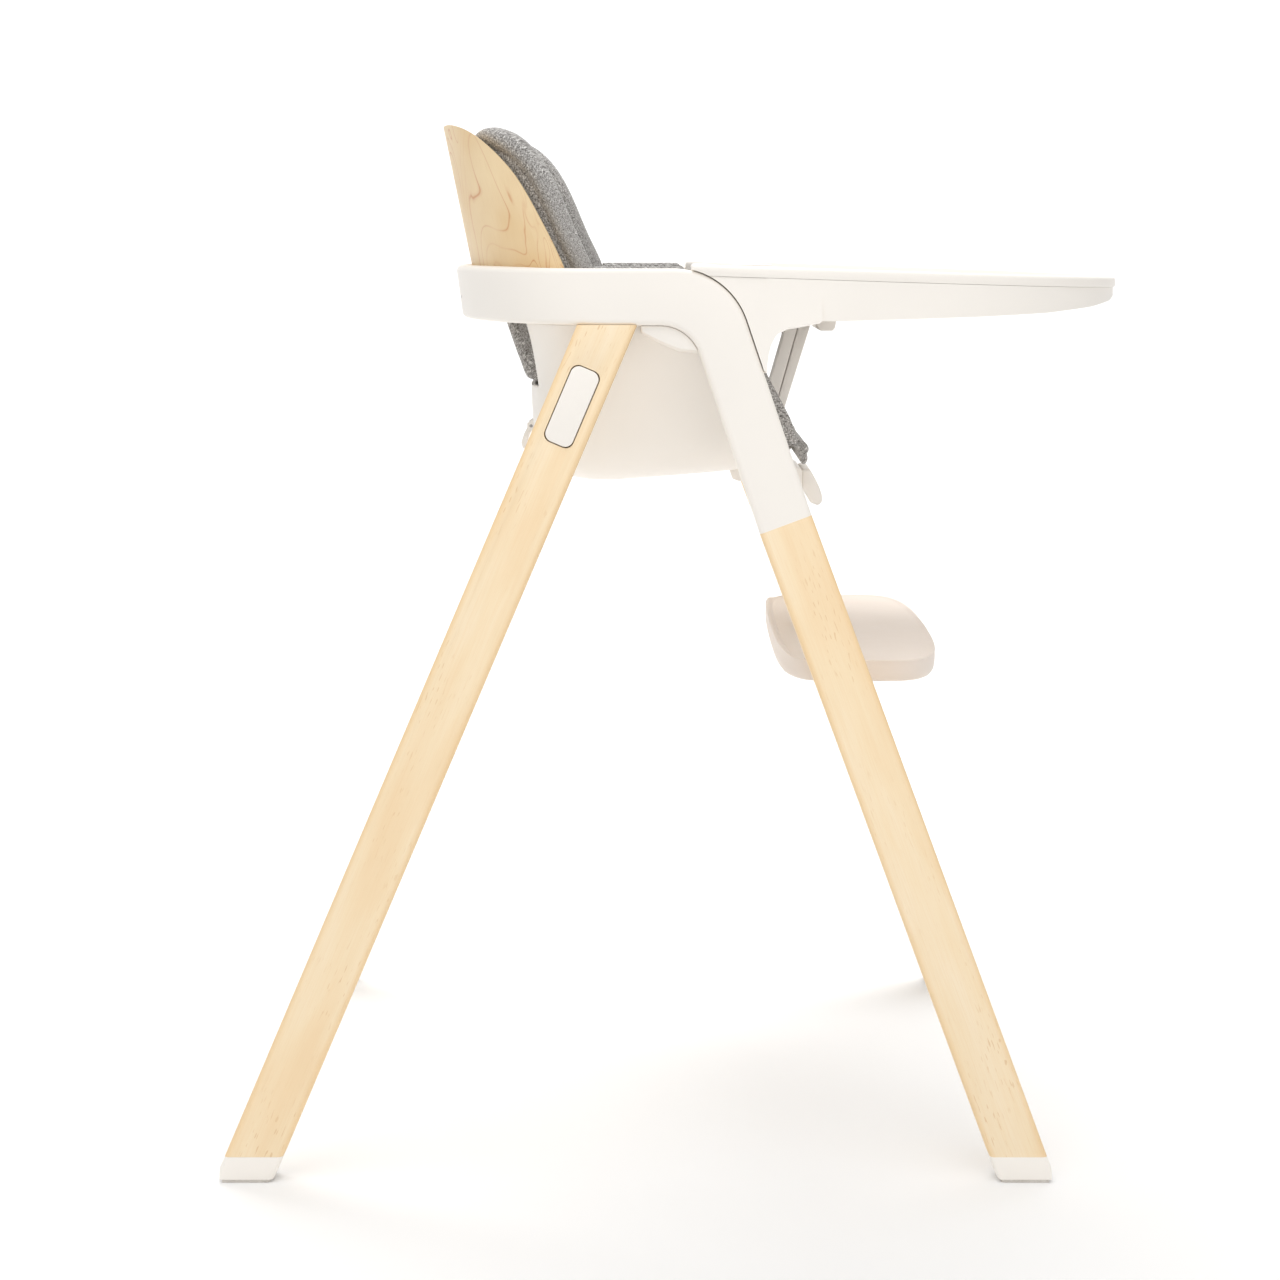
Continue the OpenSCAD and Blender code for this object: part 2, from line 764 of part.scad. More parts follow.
module tray_base() {
    color(white) difference() {
        union() {
            tray_solid();
            for (side = [LEFT, RIGHT]) {
                skirt(side);
                mirror([0, side > 0 ? 0 : 1, 0]) translate([rail_rear_x, rail_y, rail_z])
                    cube([tray_rear_x + 20 - rail_rear_x, rail_t, rail_h]);
            }
        }
        // belly curve
        translate([belly_x, 0, 600]) cylinder(r = belly_r, h = 300, $fn = 96);
        tray_hollow();
        // slot for the lever
        translate([lever_x + 3.5, -30.5, 700]) cube([12 + lever_travel, 61, 30]);
        // windows for the latches
        for (side = [LEFT, RIGHT]) mirror([0, side > 0 ? 0 : 1, 0])
            translate([latch_x - 0.2, rail_y - 5, rail_z + 4.8]) cube([10.4, 30, 6.4]);
        post_bolts_at(bolt_gap);
    }
}

module on_tray() {
    translate([tray_rear_x, 0, tray_top_z]) rotate([0, tray_slope, 0]) children();
}

module tray_insert() {
    l = (tray_nose_x - tray_rear_x) / cos(tray_slope);
    curve = tray_curve_x - tray_rear_x;
    rim = 13;
    color(white) intersection() {
        on_tray() difference() {
            translate([-5, 0, -insert_h + 0.2]) linear_extrude(insert_h - 0.2)
                translate([5 - tray_rear_x, 0]) polygon(tray_plan(l + tray_rear_x, tray_half_w, insert_rear_x));
            translate([0, 0, -insert_h + 2.7]) linear_extrude(20) difference() {
                translate([-tray_rear_x, 0])
                    polygon(tray_plan(l + tray_rear_x - rim, tray_half_w - rim, tray_rear_x + rim));
                translate([belly_x - tray_rear_x, 0]) circle(belly_r + rim, $fn = 96);
            }
            translate([belly_x - tray_rear_x, 0, -50]) cylinder(r = belly_r, h = 100, $fn = 96);
        }
        difference() {
            translate([-far, -far, 0]) cube([far + tray_nose_x, 2 * far, far]);
            // the arms' bends
            for (side = [LEFT, RIGHT])
                on_side(side) side_extrude(-10, leg_t + 8)
                    translate([bend_x, arm_top - arm_bend_r]) circle(arm_bend_r + arm_gap);
        }
    }
}

post_half_w = 17;
post_bolts = [[86, 22], [86, -22], [108, 22], [108, -22]];

module post_bolts_at(grow = 0) {
    for (p = post_bolts) translate([p[0], p[1], tray_bottom_z - 3]) bolt(6.3, grow, 2.5);
}

module crotch_post() {
    color(white) difference() {
        union() {
            side_extrude(-post_half_w, post_half_w) polygon([
                [93, tray_bottom_z - 0.1], [115, tray_bottom_z - 0.1], [112.9, 699.7], [90.5, 626.7],
                [87, 620.5], [82, 618.5], [74, 618.5], [70.5, 622], [70.5, 627], [89, 692.9]]);
            translate([80, -28, tray_bottom_z - 3]) cube([34, 56, 2.9]);
        }
        post_bolts_at(bolt_gap);
    }
}

module post_screws() {
    color(steel) post_bolts_at();
}

module tray_lever() {
    color(white) union() {
        side_extrude(-45, 45) polygon([
            [lever_x, 712.6], [lever_x + 1, 704.9], [lever_x + 3, 700], [lever_x + 5, 698.6],
            [lever_x + 16, 698.6], [lever_x + 18, 701], [lever_x + lever_w, 706.7],
            [lever_x + lever_w, 712.6]]);
        translate([lever_x + 4, -30, 712]) cube([11, 60, 6]);
        translate([lever_x + 2, -36, 717]) cube([15, 72, 3]);
    }
}

module tray_lever_spring() {
    color(steel) translate([lever_x + 17.2, 0, 722.4]) rotate([0, 90, 0]) coil_spring(4, 0.6, 22, 6);
}

module tray_latch(side) {
    color(steel) mirror([0, side > 0 ? 0 : 1, 0])
        translate([latch_x, rail_y + 2.6, rail_z + 5]) cube([10, 6.6, 6]);
}

// ---- Footrest ----

module on_stem() {
    translate([stem_x, 0, footrest_z]) rotate([0, -stem_lean, 0]) children();
}

stem_top = 148;

module stem_bar(s0, s1, grow = 0) {
    translate([0, 0, s0]) linear_extrude(s1 - s0)
        rounded_rect(stem_t + 2 * grow, stem_w + 2 * grow, 6 + grow);
}

module housing_bolts_at(grow = 0) {
    for (y = [-34, 34]) translate([60, y, 570]) bolt(16, grow, grow > 0 ? 12 : 3);
}

module footrest_housing() {
    color(white) difference() {
        side_extrude(-46, 46) polygon([
            [40.3, 579.4], [40.3, 573.9], [43.1, 566.5], [47.7, 564.7], [78, 560], [106, 556.5],
            [105.5, 574], [96, 580], [70, 581.4]]);
        on_stem() stem_bar(100, stem_top + 0.2, 0.2);
        housing_bolts_at(bolt_gap);
    }
}

module housing_cover() {
    color(white) side_extrude(-34, 34) polygon([
        [106, 574], [113.7, 573.9], [118.3, 565.6], [122.1, 558.2], [124.9, 549.9], [125, 544.4],
        [121.4, 540.7], [114, 543.5], [109.5, 552], [106.3, 556.4]]);
}

module housing_screws() {
    color(steel) housing_bolts_at();
}

notches = [35, 70, 105];

module footrest_stem() {
    color(white) on_stem() difference() {
        stem_bar(-footrest_h - 4, stem_top);
        // three notches for the catch, in the rear face
        for (s = notches) translate([-stem_t / 2 - 1, -8, s]) cube([3, 16, 6]);
    }
}

function footrest_ring(inset, z) =
    [for (p = plan(80 + inset, 150, 229 - inset, footrest_half_w - inset, 5, 3))
        [p[0] + 9 * pow(p[1] / footrest_half_w, 2) * (p[0] < 150 ? 1 : -1), p[1], z]];

module footrest_plate() {
    color(shade) difference() {
        union() {
            loft([
                footrest_ring(26, footrest_z - footrest_h), footrest_ring(14, footrest_z - 15),
                footrest_ring(5, footrest_z - 9), footrest_ring(1, footrest_z - 4),
                footrest_ring(0, footrest_z - 1), footrest_ring(1.5, footrest_z)]);
            intersection() {
                loft([footrest_ring(0.5, footrest_z - 2), footrest_ring(2, footrest_z + 9)]);
                translate([60, -far, footrest_z - 3]) cube([32, 2 * far, 40]);
            }
        }
        // dish behind the rear wall
        loft([footrest_ring(11, footrest_z + 0.01), footrest_ring(9, footrest_z + 20)]);
        on_stem() stem_bar(-60, 60, stem_gap);
        // pocket for the release button
        translate([150, 0, footrest_z - footrest_h - 1]) linear_extrude(10) rounded_rect(16.8, 36.8, 5);
    }
}

module footrest_button() {
    color(white) translate([150, 0, footrest_z - footrest_h - 2]) linear_extrude(6)
        rounded_rect(16, 36, 5);
}

module footrest_button_spring() {
    color(steel) translate([150, 0, footrest_z - footrest_h + 4.1]) coil_spring(4, 0.6, 4.8, 3);
}

// ---- The assembly ----

ring_frame();
rail_guide(LEFT);  // rail_guide_left
rail_guide(RIGHT);  // rail_guide_right
rear_leg(LEFT);  // rear_leg_left
rear_leg(RIGHT);  // rear_leg_right
front_leg(LEFT);  // front_leg_left
front_leg(RIGHT);  // front_leg_right
rear_spigot(LEFT);  // rear_spigot_left
rear_spigot(RIGHT);  // rear_spigot_right
front_spigot(LEFT);  // front_spigot_left
front_spigot(RIGHT);  // front_spigot_right
spigot_screws();
rear_foot(LEFT);  // rear_foot_left
rear_foot(RIGHT);  // rear_foot_right
front_foot(LEFT);  // front_foot_left
front_foot(RIGHT);  // front_foot_right
rear_sole(LEFT);  // rear_sole_left
rear_sole(RIGHT);  // rear_sole_right
front_sole(LEFT);  // front_sole_left
front_sole(RIGHT);  // front_sole_right
leg_button(LEFT);  // leg_button_left
leg_button(RIGHT);  // leg_button_right
leg_button_spring(LEFT);  // leg_button_spring_left
leg_button_spring(RIGHT);  // leg_button_spring_right
seat_shell();
shell_screws();
back_panel();
panel_screws();
back_pad();
seat_pad();
shoulder_strap(LEFT);  // shoulder_strap_left
shoulder_strap(RIGHT);  // shoulder_strap_right
lap_strap(LEFT);  // lap_strap_left
lap_strap(RIGHT);  // lap_strap_right
crotch_strap();
harness_buckle();
buckle_button();
strap_lock_base();
strap_lock_lever();
strap_lock_pin();
tray_base();
tray_insert();
crotch_post();
post_screws();
tray_lever();
tray_lever_spring();
tray_latch(LEFT);  // tray_latch_left
tray_latch(RIGHT);  // tray_latch_right
footrest_housing();
housing_cover();
housing_screws();
footrest_stem();
footrest_plate();
footrest_button();
footrest_button_spring();
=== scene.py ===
# %% [markdown]
# # A baby high chair
# The imported design already gives every part its true size, place and joint. This lesson dresses it
# with softer moulded shapes, real wood figure, sewn pads and woven straps. First the frame is
# loaded.
# %% Load the frame
import math

import bmesh
import bpy
import numpy as np
from mathutils import Matrix, Vector


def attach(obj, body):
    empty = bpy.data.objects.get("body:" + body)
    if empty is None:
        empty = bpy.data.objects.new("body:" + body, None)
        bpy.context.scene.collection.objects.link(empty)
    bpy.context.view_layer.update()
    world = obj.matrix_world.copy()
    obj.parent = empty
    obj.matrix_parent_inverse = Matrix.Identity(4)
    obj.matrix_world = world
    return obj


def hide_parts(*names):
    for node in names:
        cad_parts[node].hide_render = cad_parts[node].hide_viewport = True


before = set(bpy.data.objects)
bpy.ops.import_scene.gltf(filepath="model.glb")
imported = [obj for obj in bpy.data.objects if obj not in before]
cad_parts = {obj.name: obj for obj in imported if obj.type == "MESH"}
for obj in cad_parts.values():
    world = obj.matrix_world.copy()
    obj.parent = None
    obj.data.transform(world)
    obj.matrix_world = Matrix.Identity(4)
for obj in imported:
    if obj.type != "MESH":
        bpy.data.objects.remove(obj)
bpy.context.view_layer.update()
scene = bpy.context.scene

# %% [markdown]
# # Camera, floor and light
# The chair is seen square from its right side, from tray height and a little above. A pale sweep
# stands for floor and wall. The light is broad and soft, with a brighter side towards the camera.
# %% Camera
LENS, SENSOR_WIDTH, SIDE_SHIFT = 70.66, 36.0, -0.0117
CAMERA_PLACE, LOOK_DOWN = (-0.0266, -2.3, 0.7785), 9.046


def linked(name, data):
    """An object of the scene that holds a mesh, a lamp or a camera."""
    thing = bpy.data.objects.new(name, data)
    scene.collection.objects.link(thing)
    return thing


camera_data = bpy.data.cameras.new("camera")
camera_data.lens, camera_data.sensor_width = LENS, SENSOR_WIDTH
camera_data.shift_x = SIDE_SHIFT
camera = linked("camera", camera_data)
camera.location = CAMERA_PLACE
camera.rotation_euler = (math.radians(90 - LOOK_DOWN), 0.0, 0.0)
scene.camera = camera
scene.view_settings.view_transform = "Standard"
print("camera", tuple(round(v, 3) for v in camera.location))

# %% Helpers for colours and node trees
def srgb(red, green, blue):
    """A colour given as 0-255 screen values, as the linear values that shaders use."""
    def linear(value):
        value /= 255
        return value / 12.92 if value <= 0.04045 else ((value + 0.055) / 1.055) ** 2.4
    return (linear(red), linear(green), linear(blue), 1.0)


def add_node(tree, kind, links=None, **inputs):
    """A new node. inputs are socket values by name, and links are sockets that feed it, by name."""
    node = tree.nodes.new(kind)
    for name, value in inputs.items():
        node.inputs[name.replace("_", " ")].default_value = value
    for name, socket in (links or {}).items():
        tree.links.new(socket, node.inputs[name])
    return node


def ramp(tree, factor, *stops):
    """A colour ramp through (position, colour) stops."""
    node = add_node(tree, "ShaderNodeValToRGB", {"Fac": factor})
    elements = node.color_ramp.elements
    while len(elements) < len(stops):
        elements.new(0.5)
    for element, (position, colour) in zip(elements, stops):
        element.position = position
        element.color = colour
    return node.outputs["Color"]


def grey(value):
    return (value, value, value, 1.0)


def feed(tree, node, *values):
    """Gives the node's inputs, in their order, a value or a link each."""
    for socket, value in zip(node.inputs, values):
        if isinstance(value, bpy.types.NodeSocket):
            tree.links.new(value, socket)
        else:
            socket.default_value = value


def mixed(tree, factor, first, second):
    node = tree.nodes.new("ShaderNodeMixRGB")
    feed(tree, node, factor, first, second)
    return node.outputs["Color"]


def math_node(tree, operation, first, second=0.0):
    node = tree.nodes.new("ShaderNodeMath")
    node.operation = operation
    feed(tree, node, first, second)
    return node.outputs["Value"]


def object_place(tree):
    """The place on the piece, in metres."""
    return add_node(tree, "ShaderNodeTexCoord").outputs["Object"]


def stored_place(tree, name):
    """The place that the mesh itself stores under a name."""
    node = tree.nodes.new("ShaderNodeAttribute")
    node.attribute_name = name
    return node.outputs["Vector"]


def start_material(name, colour, roughness):
    material = bpy.data.materials.new(name)
    material.use_nodes = True
    tree = material.node_tree
    shader = tree.nodes["Principled BSDF"]
    shader.inputs["Base Color"].default_value = colour
    shader.inputs["Roughness"].default_value = roughness
    material.diffuse_color = colour
    return material, tree, shader


def stretched(tree, source, scale):
    """Coordinates multiplied along each axis, so that a pattern is drawn out the other way."""
    return add_node(tree, "ShaderNodeMapping", {"Vector": source}, Scale=scale).outputs["Vector"]


def noise(tree, vector, scale, detail=2.0, roughness=0.5, distortion=0.0):
    node = add_node(tree, "ShaderNodeTexNoise", {"Vector": vector}, Scale=scale, Detail=detail,
                    Roughness=roughness, Distortion=distortion)
    return node.outputs["Fac"]


def bump(tree, shader, height, distance, strength=1.0):
    node = add_node(tree, "ShaderNodeBump", {"Height": height}, Distance=distance,
                    Strength=strength)
    tree.links.new(node.outputs["Normal"], shader.inputs["Normal"])


print("helpers ready")

# %% [markdown]
# The sweep is one sheet that runs level under the chair and curves up behind it, so that no
# horizon line shows behind it in the side view. It is stage, because it isn't part of the chair.
# %% Floor sweep
def floor_sweep(front=-3.2, bend=2.6, radius=1.4, top=4.0, half_width=6.0):
    arc = [math.radians(a) for a in range(0, 91, 6)]
    line = [(front, 0.0)]
    line += [(bend + radius * math.sin(a), radius * (1 - math.cos(a))) for a in arc]
    line.append((bend + radius, top))
    points = [(x, y, z) for y, z in line for x in (-half_width, half_width)]
    faces = [(2 * i, 2 * i + 1, 2 * i + 3, 2 * i + 2) for i in range(len(line) - 1)]
    mesh = bpy.data.meshes.new("floor_sweep")
    mesh.from_pydata(points, [], faces)
    mesh.shade_smooth()
    return bpy.data.objects.new("floor_sweep", mesh)


floor = floor_sweep()
scene.collection.objects.link(floor)
paper, tree, shader = start_material("white_paper", grey(0.93), 0.9)
drift = noise(tree, object_place(tree), 3.0)
tree.links.new(ramp(tree, drift, (0.3, grey(0.925)), (0.7, grey(0.935))),
               shader.inputs["Base Color"])
floor.data.materials.append(paper)
print("floor sweep", len(floor.data.polygons), "faces")

# %% Lights
WORLD_COLOUR, WORLD_STRENGTH = (1.0, 0.995, 0.985, 1.0), 0.64
KEY_WATTS, FILL_WATTS, PAPER_WATTS = 27, 8, 80
CHAIR_MIDDLE, PAPER_BEND = (0.0, 0.0, 0.5), (0.0, 2.8, 0.6)


def area_light(name, place, target, size, power):
    data = bpy.data.lights.new(name, "AREA")
    data.shape = "DISK"
    data.size = size
    data.energy = power
    lamp = linked(name, data)
    lamp.location = place
    lamp.rotation_euler = (Vector(target) - Vector(place)).to_track_quat("-Z", "Y").to_euler()


world = bpy.data.worlds.new("studio")
world.use_nodes = True
background = world.node_tree.nodes["Background"].inputs
background["Color"].default_value = WORLD_COLOUR
background["Strength"].default_value = WORLD_STRENGTH
scene.world = world
area_light("key_overhead", (-0.4, -1.0, 2.9), CHAIR_MIDDLE, 2.2, KEY_WATTS)
area_light("front_fill", (0.6, -2.6, 1.3), CHAIR_MIDDLE, 2.0, FILL_WATTS)
area_light("paper_light", (0.0, 1.6, 3.2), PAPER_BEND, 2.5, PAPER_WATTS)
print("three lights and a pale world")

# %% [markdown]
# # Finishes
# The moulded parts are a warm white plastic with a fine spark-eroded texture, so they shine softly
# and never mirror. A very faint drift in tone keeps the large faces from looking computed.
# %% Moulded plastic
def moulded_plastic(name, colour, roughness, grain=1.0):
    material, tree, shader = start_material(name, colour, roughness)
    place = object_place(tree)
    drift = noise(tree, place, 9.0, 1.0)
    lighter = tuple(min(1.0, c * 1.012) for c in colour[:3]) + (1.0,)
    darker = tuple(c * 0.985 for c in colour[:3]) + (1.0,)
    tree.links.new(ramp(tree, drift, (0.35, darker), (0.65, lighter)), shader.inputs["Base Color"])
    polish = noise(tree, place, 60.0, 3.0)
    tree.links.new(ramp(tree, polish, (0.3, grey(roughness - 0.04)), (0.7, grey(roughness + 0.05))),
                   shader.inputs["Roughness"])
    bump(tree, shader, noise(tree, place, 2600.0, 1.0), 0.00006 * grain, 0.6)
    shader.inputs["IOR"].default_value = 1.46
    shader.inputs["Specular IOR Level"].default_value = 0.42
    return material


white_plastic = moulded_plastic("white_plastic", srgb(247, 242, 235), 0.42)
footrest_plastic = moulded_plastic("footrest_plastic", srgb(236, 224, 213), 0.5, 1.6)
harness_plastic = moulded_plastic("harness_plastic", srgb(58, 58, 60), 0.38)
button_plastic = moulded_plastic("harness_button", srgb(150, 149, 147), 0.36)
print("four plastics")

# %% [markdown]
# The legs are solid beech. Its grain is straight, with fine pale fibres and the short dark flecks
# that only beech shows. Every leg carries its own coordinates, in metres: across, through and
# along the leg. The figure reads those, so it runs with the leg however the leg is raked. The
# rounded long edges carry painted shade: a darker, more golden tone where they turn from the light.
# %% Beech
def beech(name):
    material, tree, shader = start_material(name, srgb(248, 226, 190), 0.48)
    along = stored_place(tree, "grain")
    broad = noise(tree, stretched(tree, along, (1.0, 1.0, 0.16)), 34.0, 2.0, 0.5, 0.3)
    tone = ramp(tree, broad, (0.32, srgb(245, 218, 178)), (0.5, srgb(248, 226, 190)),
                (0.68, srgb(250, 231, 200)))
    fibres = noise(tree, stretched(tree, along, (1.0, 1.0, 0.02)), 1500.0, 2.0, 0.6)
    tone = mixed(tree, ramp(tree, fibres, (0.42, grey(0.0)), (0.72, grey(0.3))), tone,
                 srgb(240, 209, 162))
    flecks = noise(tree, stretched(tree, along, (1.0, 1.0, 0.13)), 780.0, 0.0)
    patches = noise(tree, stretched(tree, along, (1.0, 1.0, 0.35)), 26.0, 1.0)
    shown = math_node(tree, "MULTIPLY", ramp(tree, flecks, (0.685, grey(0.0)), (0.74, grey(1.0))),
                      ramp(tree, patches, (0.44, grey(0.04)), (0.64, grey(0.5))))
    tone = mixed(tree, shown, tone, srgb(219, 176, 118))
    # painted shade: towards the rounded long edges the tone turns darker and more golden, where they
    # turn from the light
    parts = add_node(tree, "ShaderNodeSeparateXYZ", {"Vector": along})
    from_middle = math_node(tree, "ABSOLUTE", parts.outputs["X"])
    edge = add_node(tree, "ShaderNodeMapRange", {"Value": from_middle}, From_Min=0.0172,
                    From_Max=0.0222, To_Min=0.0, To_Max=0.62)
    tone = mixed(tree, edge.outputs["Result"], tone, srgb(239, 203, 150))
    tree.links.new(tone, shader.inputs["Base Color"])
    tree.links.new(ramp(tree, fibres, (0.3, grey(0.42)), (0.7, grey(0.56))),
                   shader.inputs["Roughness"])
    bump(tree, shader, fibres, 0.00012, 0.5)
    return material


beech_wood = beech("beech_wood")
print("beech ready")

# %% [markdown]
# The back is bent plywood with a figured maple face. Such a veneer is peeled round the log, and a
# peeled sheet shows the growth rings as contour lines: long bands, arches and closed loops. The
# same picture comes from the level lines of a slow noise, read on the unrolled sheet. The cut edge
# is paler and shows the plies.
# %% Figured maple
PLYWOOD, PLY, FACE_VENEER = 0.009, 0.0018, 0.0004


def contour_lines(tree, field, count, width):
    """Thin dark lines at equal steps of a slowly changing field."""
    steps = math_node(tree, "MULTIPLY", field, count)
    saw = math_node(tree, "PINGPONG", steps, 0.5)
    return ramp(tree, saw, (0.0, grey(1.0)), (width, grey(0.25)), (width * 2.6, grey(0.0)))


def figured_maple(name):
    material, tree, shader = start_material(name, srgb(237, 209, 164), 0.45)
    unrolled = stored_place(tree, "sheet")
    broad = noise(tree, unrolled, 14.0, 2.0)
    tone = ramp(tree, broad, (0.3, srgb(234, 203, 154)), (0.52, srgb(239, 212, 168)),
                (0.7, srgb(244, 219, 176)))
    field = noise(tree, stretched(tree, unrolled, (1.0, 0.72, 1.0)), 10.5, 2.5, 0.42, 0.9)
    strong = contour_lines(tree, field, 15.0, 0.05)
    patches = noise(tree, unrolled, 17.0, 1.0)
    shown = math_node(tree, "MULTIPLY", strong,
                      ramp(tree, patches, (0.42, grey(0.2)), (0.6, grey(0.9))))
    tone = mixed(tree, shown, tone, srgb(208, 140, 88))
    pores = noise(tree, stretched(tree, unrolled, (1.0, 0.06, 1.0)), 1100.0, 1.0)
    tone = mixed(tree, ramp(tree, pores, (0.5, grey(0.0)), (0.75, grey(0.28))), tone,
                 srgb(226, 192, 142))
    depth = add_node(tree, "ShaderNodeSeparateXYZ", {"Vector": unrolled}).outputs["Z"]
    plies = math_node(tree, "PINGPONG", math_node(tree, "MULTIPLY", depth, 1 / PLY), 0.5)
    edge_tone = mixed(tree, ramp(tree, plies, (0.2, grey(0.0)), (0.3, grey(0.6))),
                      srgb(247, 224, 184), srgb(234, 200, 150))
    inside = math_node(tree, "MULTIPLY", math_node(tree, "GREATER_THAN", depth, FACE_VENEER),
                       math_node(tree, "LESS_THAN", depth, PLYWOOD - FACE_VENEER))
    tone = mixed(tree, inside, tone, edge_tone)
    tree.links.new(tone, shader.inputs["Base Color"])
    bump(tree, shader, pores, 0.00008, 0.4)
    shader.inputs["Coat Weight"].default_value = 0.12
    shader.inputs["Coat Roughness"].default_value = 0.4
    return material


back_plywood = figured_maple("back_plywood")
print("figured maple ready")

# %% [markdown]
# The pads are covered in a grey melange: light and dark fibres are spun together before weaving,
# so every thread changes tone along its length. Two noises, drawn out across each other, stand for
# warp and weft, and a third one breaks them into flecks. The same threads raise the bump.
# %% Melange fabric
def melange(name):
    material, tree, shader = start_material(name, srgb(150, 147, 143), 0.9)
    place = stored_place(tree, "sheet")
    weft = noise(tree, stretched(tree, place, (0.5, 1.0, 1.0)), 760.0, 2.0, 0.65)
    warp = noise(tree, stretched(tree, place, (1.0, 0.4, 1.0)), 760.0, 2.0, 0.65)
    threads = mixed(tree, 0.5, weft, warp)
    tone = ramp(tree, threads, (0.38, srgb(74, 70, 68)), (0.46, srgb(130, 127, 124)),
                (0.53, srgb(170, 167, 164)), (0.61, srgb(228, 226, 223)))
    drift = noise(tree, place, 55.0, 2.0)
    tone = mixed(tree, ramp(tree, drift, (0.3, grey(0.0)), (0.7, grey(0.22))), tone,
                 srgb(176, 173, 169))
    tree.links.new(tone, shader.inputs["Base Color"])
    bump(tree, shader, threads, 0.0007, 0.8)
    shader.inputs["Sheen Weight"].default_value = 0.25
    shader.inputs["Sheen Roughness"].default_value = 0.5
    shader.inputs["Specular IOR Level"].default_value = 0.2
    return material


grey_fabric = melange("grey_fabric")


def woven_webbing(name):
    material, tree, shader = start_material(name, srgb(70, 70, 72), 0.8)
    ribs = add_node(tree, "ShaderNodeTexWave", {"Vector": stored_place(tree, "sheet")},
                    Scale=190.0, Distortion=1.5, Detail=1.0, Detail_Scale=6.0)
    ribs.bands_direction = "DIAGONAL"
    tone = ramp(tree, ribs.outputs["Fac"], (0.2, srgb(44, 44, 46)), (0.8, srgb(92, 92, 94)))
    tree.links.new(tone, shader.inputs["Base Color"])
    bump(tree, shader, ribs.outputs["Fac"], 0.0003, 0.8)
    shader.inputs["Sheen Weight"].default_value = 0.15
    return material


webbing = woven_webbing("webbing")
print("fabric and webbing ready")

# %% [markdown]
# Steel shows only on screws, springs and pins. The soles are a grey rubber with a matt, slightly
# mottled face. Thread is the cotton of the harness's stitches.
# %% Steel, rubber and thread
def brushed_steel(name):
    material, tree, shader = start_material(name, srgb(176, 176, 178), 0.32)
    place = object_place(tree)
    scratches = noise(tree, stretched(tree, place, (1.0, 1.0, 8.0)), 900.0, 2.0)
    shader.inputs["Metallic"].default_value = 1.0
    tree.links.new(ramp(tree, scratches, (0.3, grey(0.24)), (0.7, grey(0.42))),
                   shader.inputs["Roughness"])
    bump(tree, shader, scratches, 0.00003, 0.5)
    return material


def matt_rubber(name):
    material, tree, shader = start_material(name, srgb(214, 209, 202), 0.85)
    place = object_place(tree)
    mottle = noise(tree, place, 420.0, 3.0)
    tree.links.new(ramp(tree, mottle, (0.3, srgb(206, 200, 192)), (0.7, srgb(221, 216, 209))),
                   shader.inputs["Base Color"])
    bump(tree, shader, mottle, 0.0002, 0.5)
    return material


def cotton_thread(name, colour):
    material, tree, shader = start_material(name, colour, 0.85)
    place = object_place(tree)
    twist = noise(tree, place, 3000.0, 1.0)
    darker = tuple(c * 0.7 for c in colour[:3]) + (1.0,)
    tree.links.new(ramp(tree, twist, (0.4, darker), (0.6, colour)), shader.inputs["Base Color"])
    return material


steel = brushed_steel("steel")
sole_rubber = matt_rubber("sole_rubber")
strap_thread = cotton_thread("strap_thread", srgb(30, 30, 32))
print("steel, rubber and thread ready")

# %% [markdown]
# # Ways of making a shape
# Three ways make nearly every piece. A moulded or turned part whose design shape is right is
# copied from the frame, cleaned and given rounded edges. A part whose surface follows a rule is
# made as a grid of points. What repeats is placed by Geometry Nodes.
# %% Finished pieces
MERGE, DESIGN_MERGE = 1e-6, 2e-6
FLAT_ENOUGH = math.radians(0.6)


def finish_piece(piece, material, body, slot, *nodes):
    """Gives a piece its material, lets it ride on its body and stand for its design nodes."""
    if not piece.users_collection:
        scene.collection.objects.link(piece)
    piece.data.materials.clear()
    piece.data.materials.append(material)
    if nodes:
        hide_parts(*nodes)
    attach(piece, body)
    return piece


def smooth_faces(mesh, angle=32):
    """Smooth shading, broken where two faces meet at more than the angle."""
    mesh.shade_smooth()
    mesh.set_sharp_from_angle(angle=math.radians(angle))


def faced_outwards(mesh, merge=0.0):
    """Turns every face outwards, after merging doubled points if a distance is given."""
    shape = bmesh.new()
    shape.from_mesh(mesh)
    if merge:
        bmesh.ops.remove_doubles(shape, verts=shape.verts, dist=merge)
    bmesh.ops.recalc_face_normals(shape, faces=shape.faces)
    shape.to_mesh(mesh)
    shape.free()


def object_from(name, points, faces):
    mesh = bpy.data.meshes.new(name)
    mesh.from_pydata([tuple(p) for p in points], [], faces)
    faced_outwards(mesh, MERGE)
    smooth_faces(mesh)
    return linked(name, mesh)


def settle(piece):
    """Applies every modifier, so that the piece is one plain mesh."""
    bpy.context.view_layer.update()
    graph = bpy.context.evaluated_depsgraph_get()
    mesh = bpy.data.meshes.new_from_object(
        piece.evaluated_get(graph), preserve_all_data_layers=True, depsgraph=graph)
    old = piece.data
    piece.modifiers.clear()
    piece.data = mesh
    bpy.data.meshes.remove(old)
    mesh.name = piece.name


def round_edges(piece, radius, segments=3, angle=35):
    bevel = piece.modifiers.new("rounded_edges", "BEVEL")
    bevel.width = radius
    bevel.segments = segments
    bevel.limit_method = "ANGLE"
    bevel.angle_limit = math.radians(angle)
    bevel.use_clamp_overlap = True
    settle(piece)
    smooth_faces(piece.data, 40)


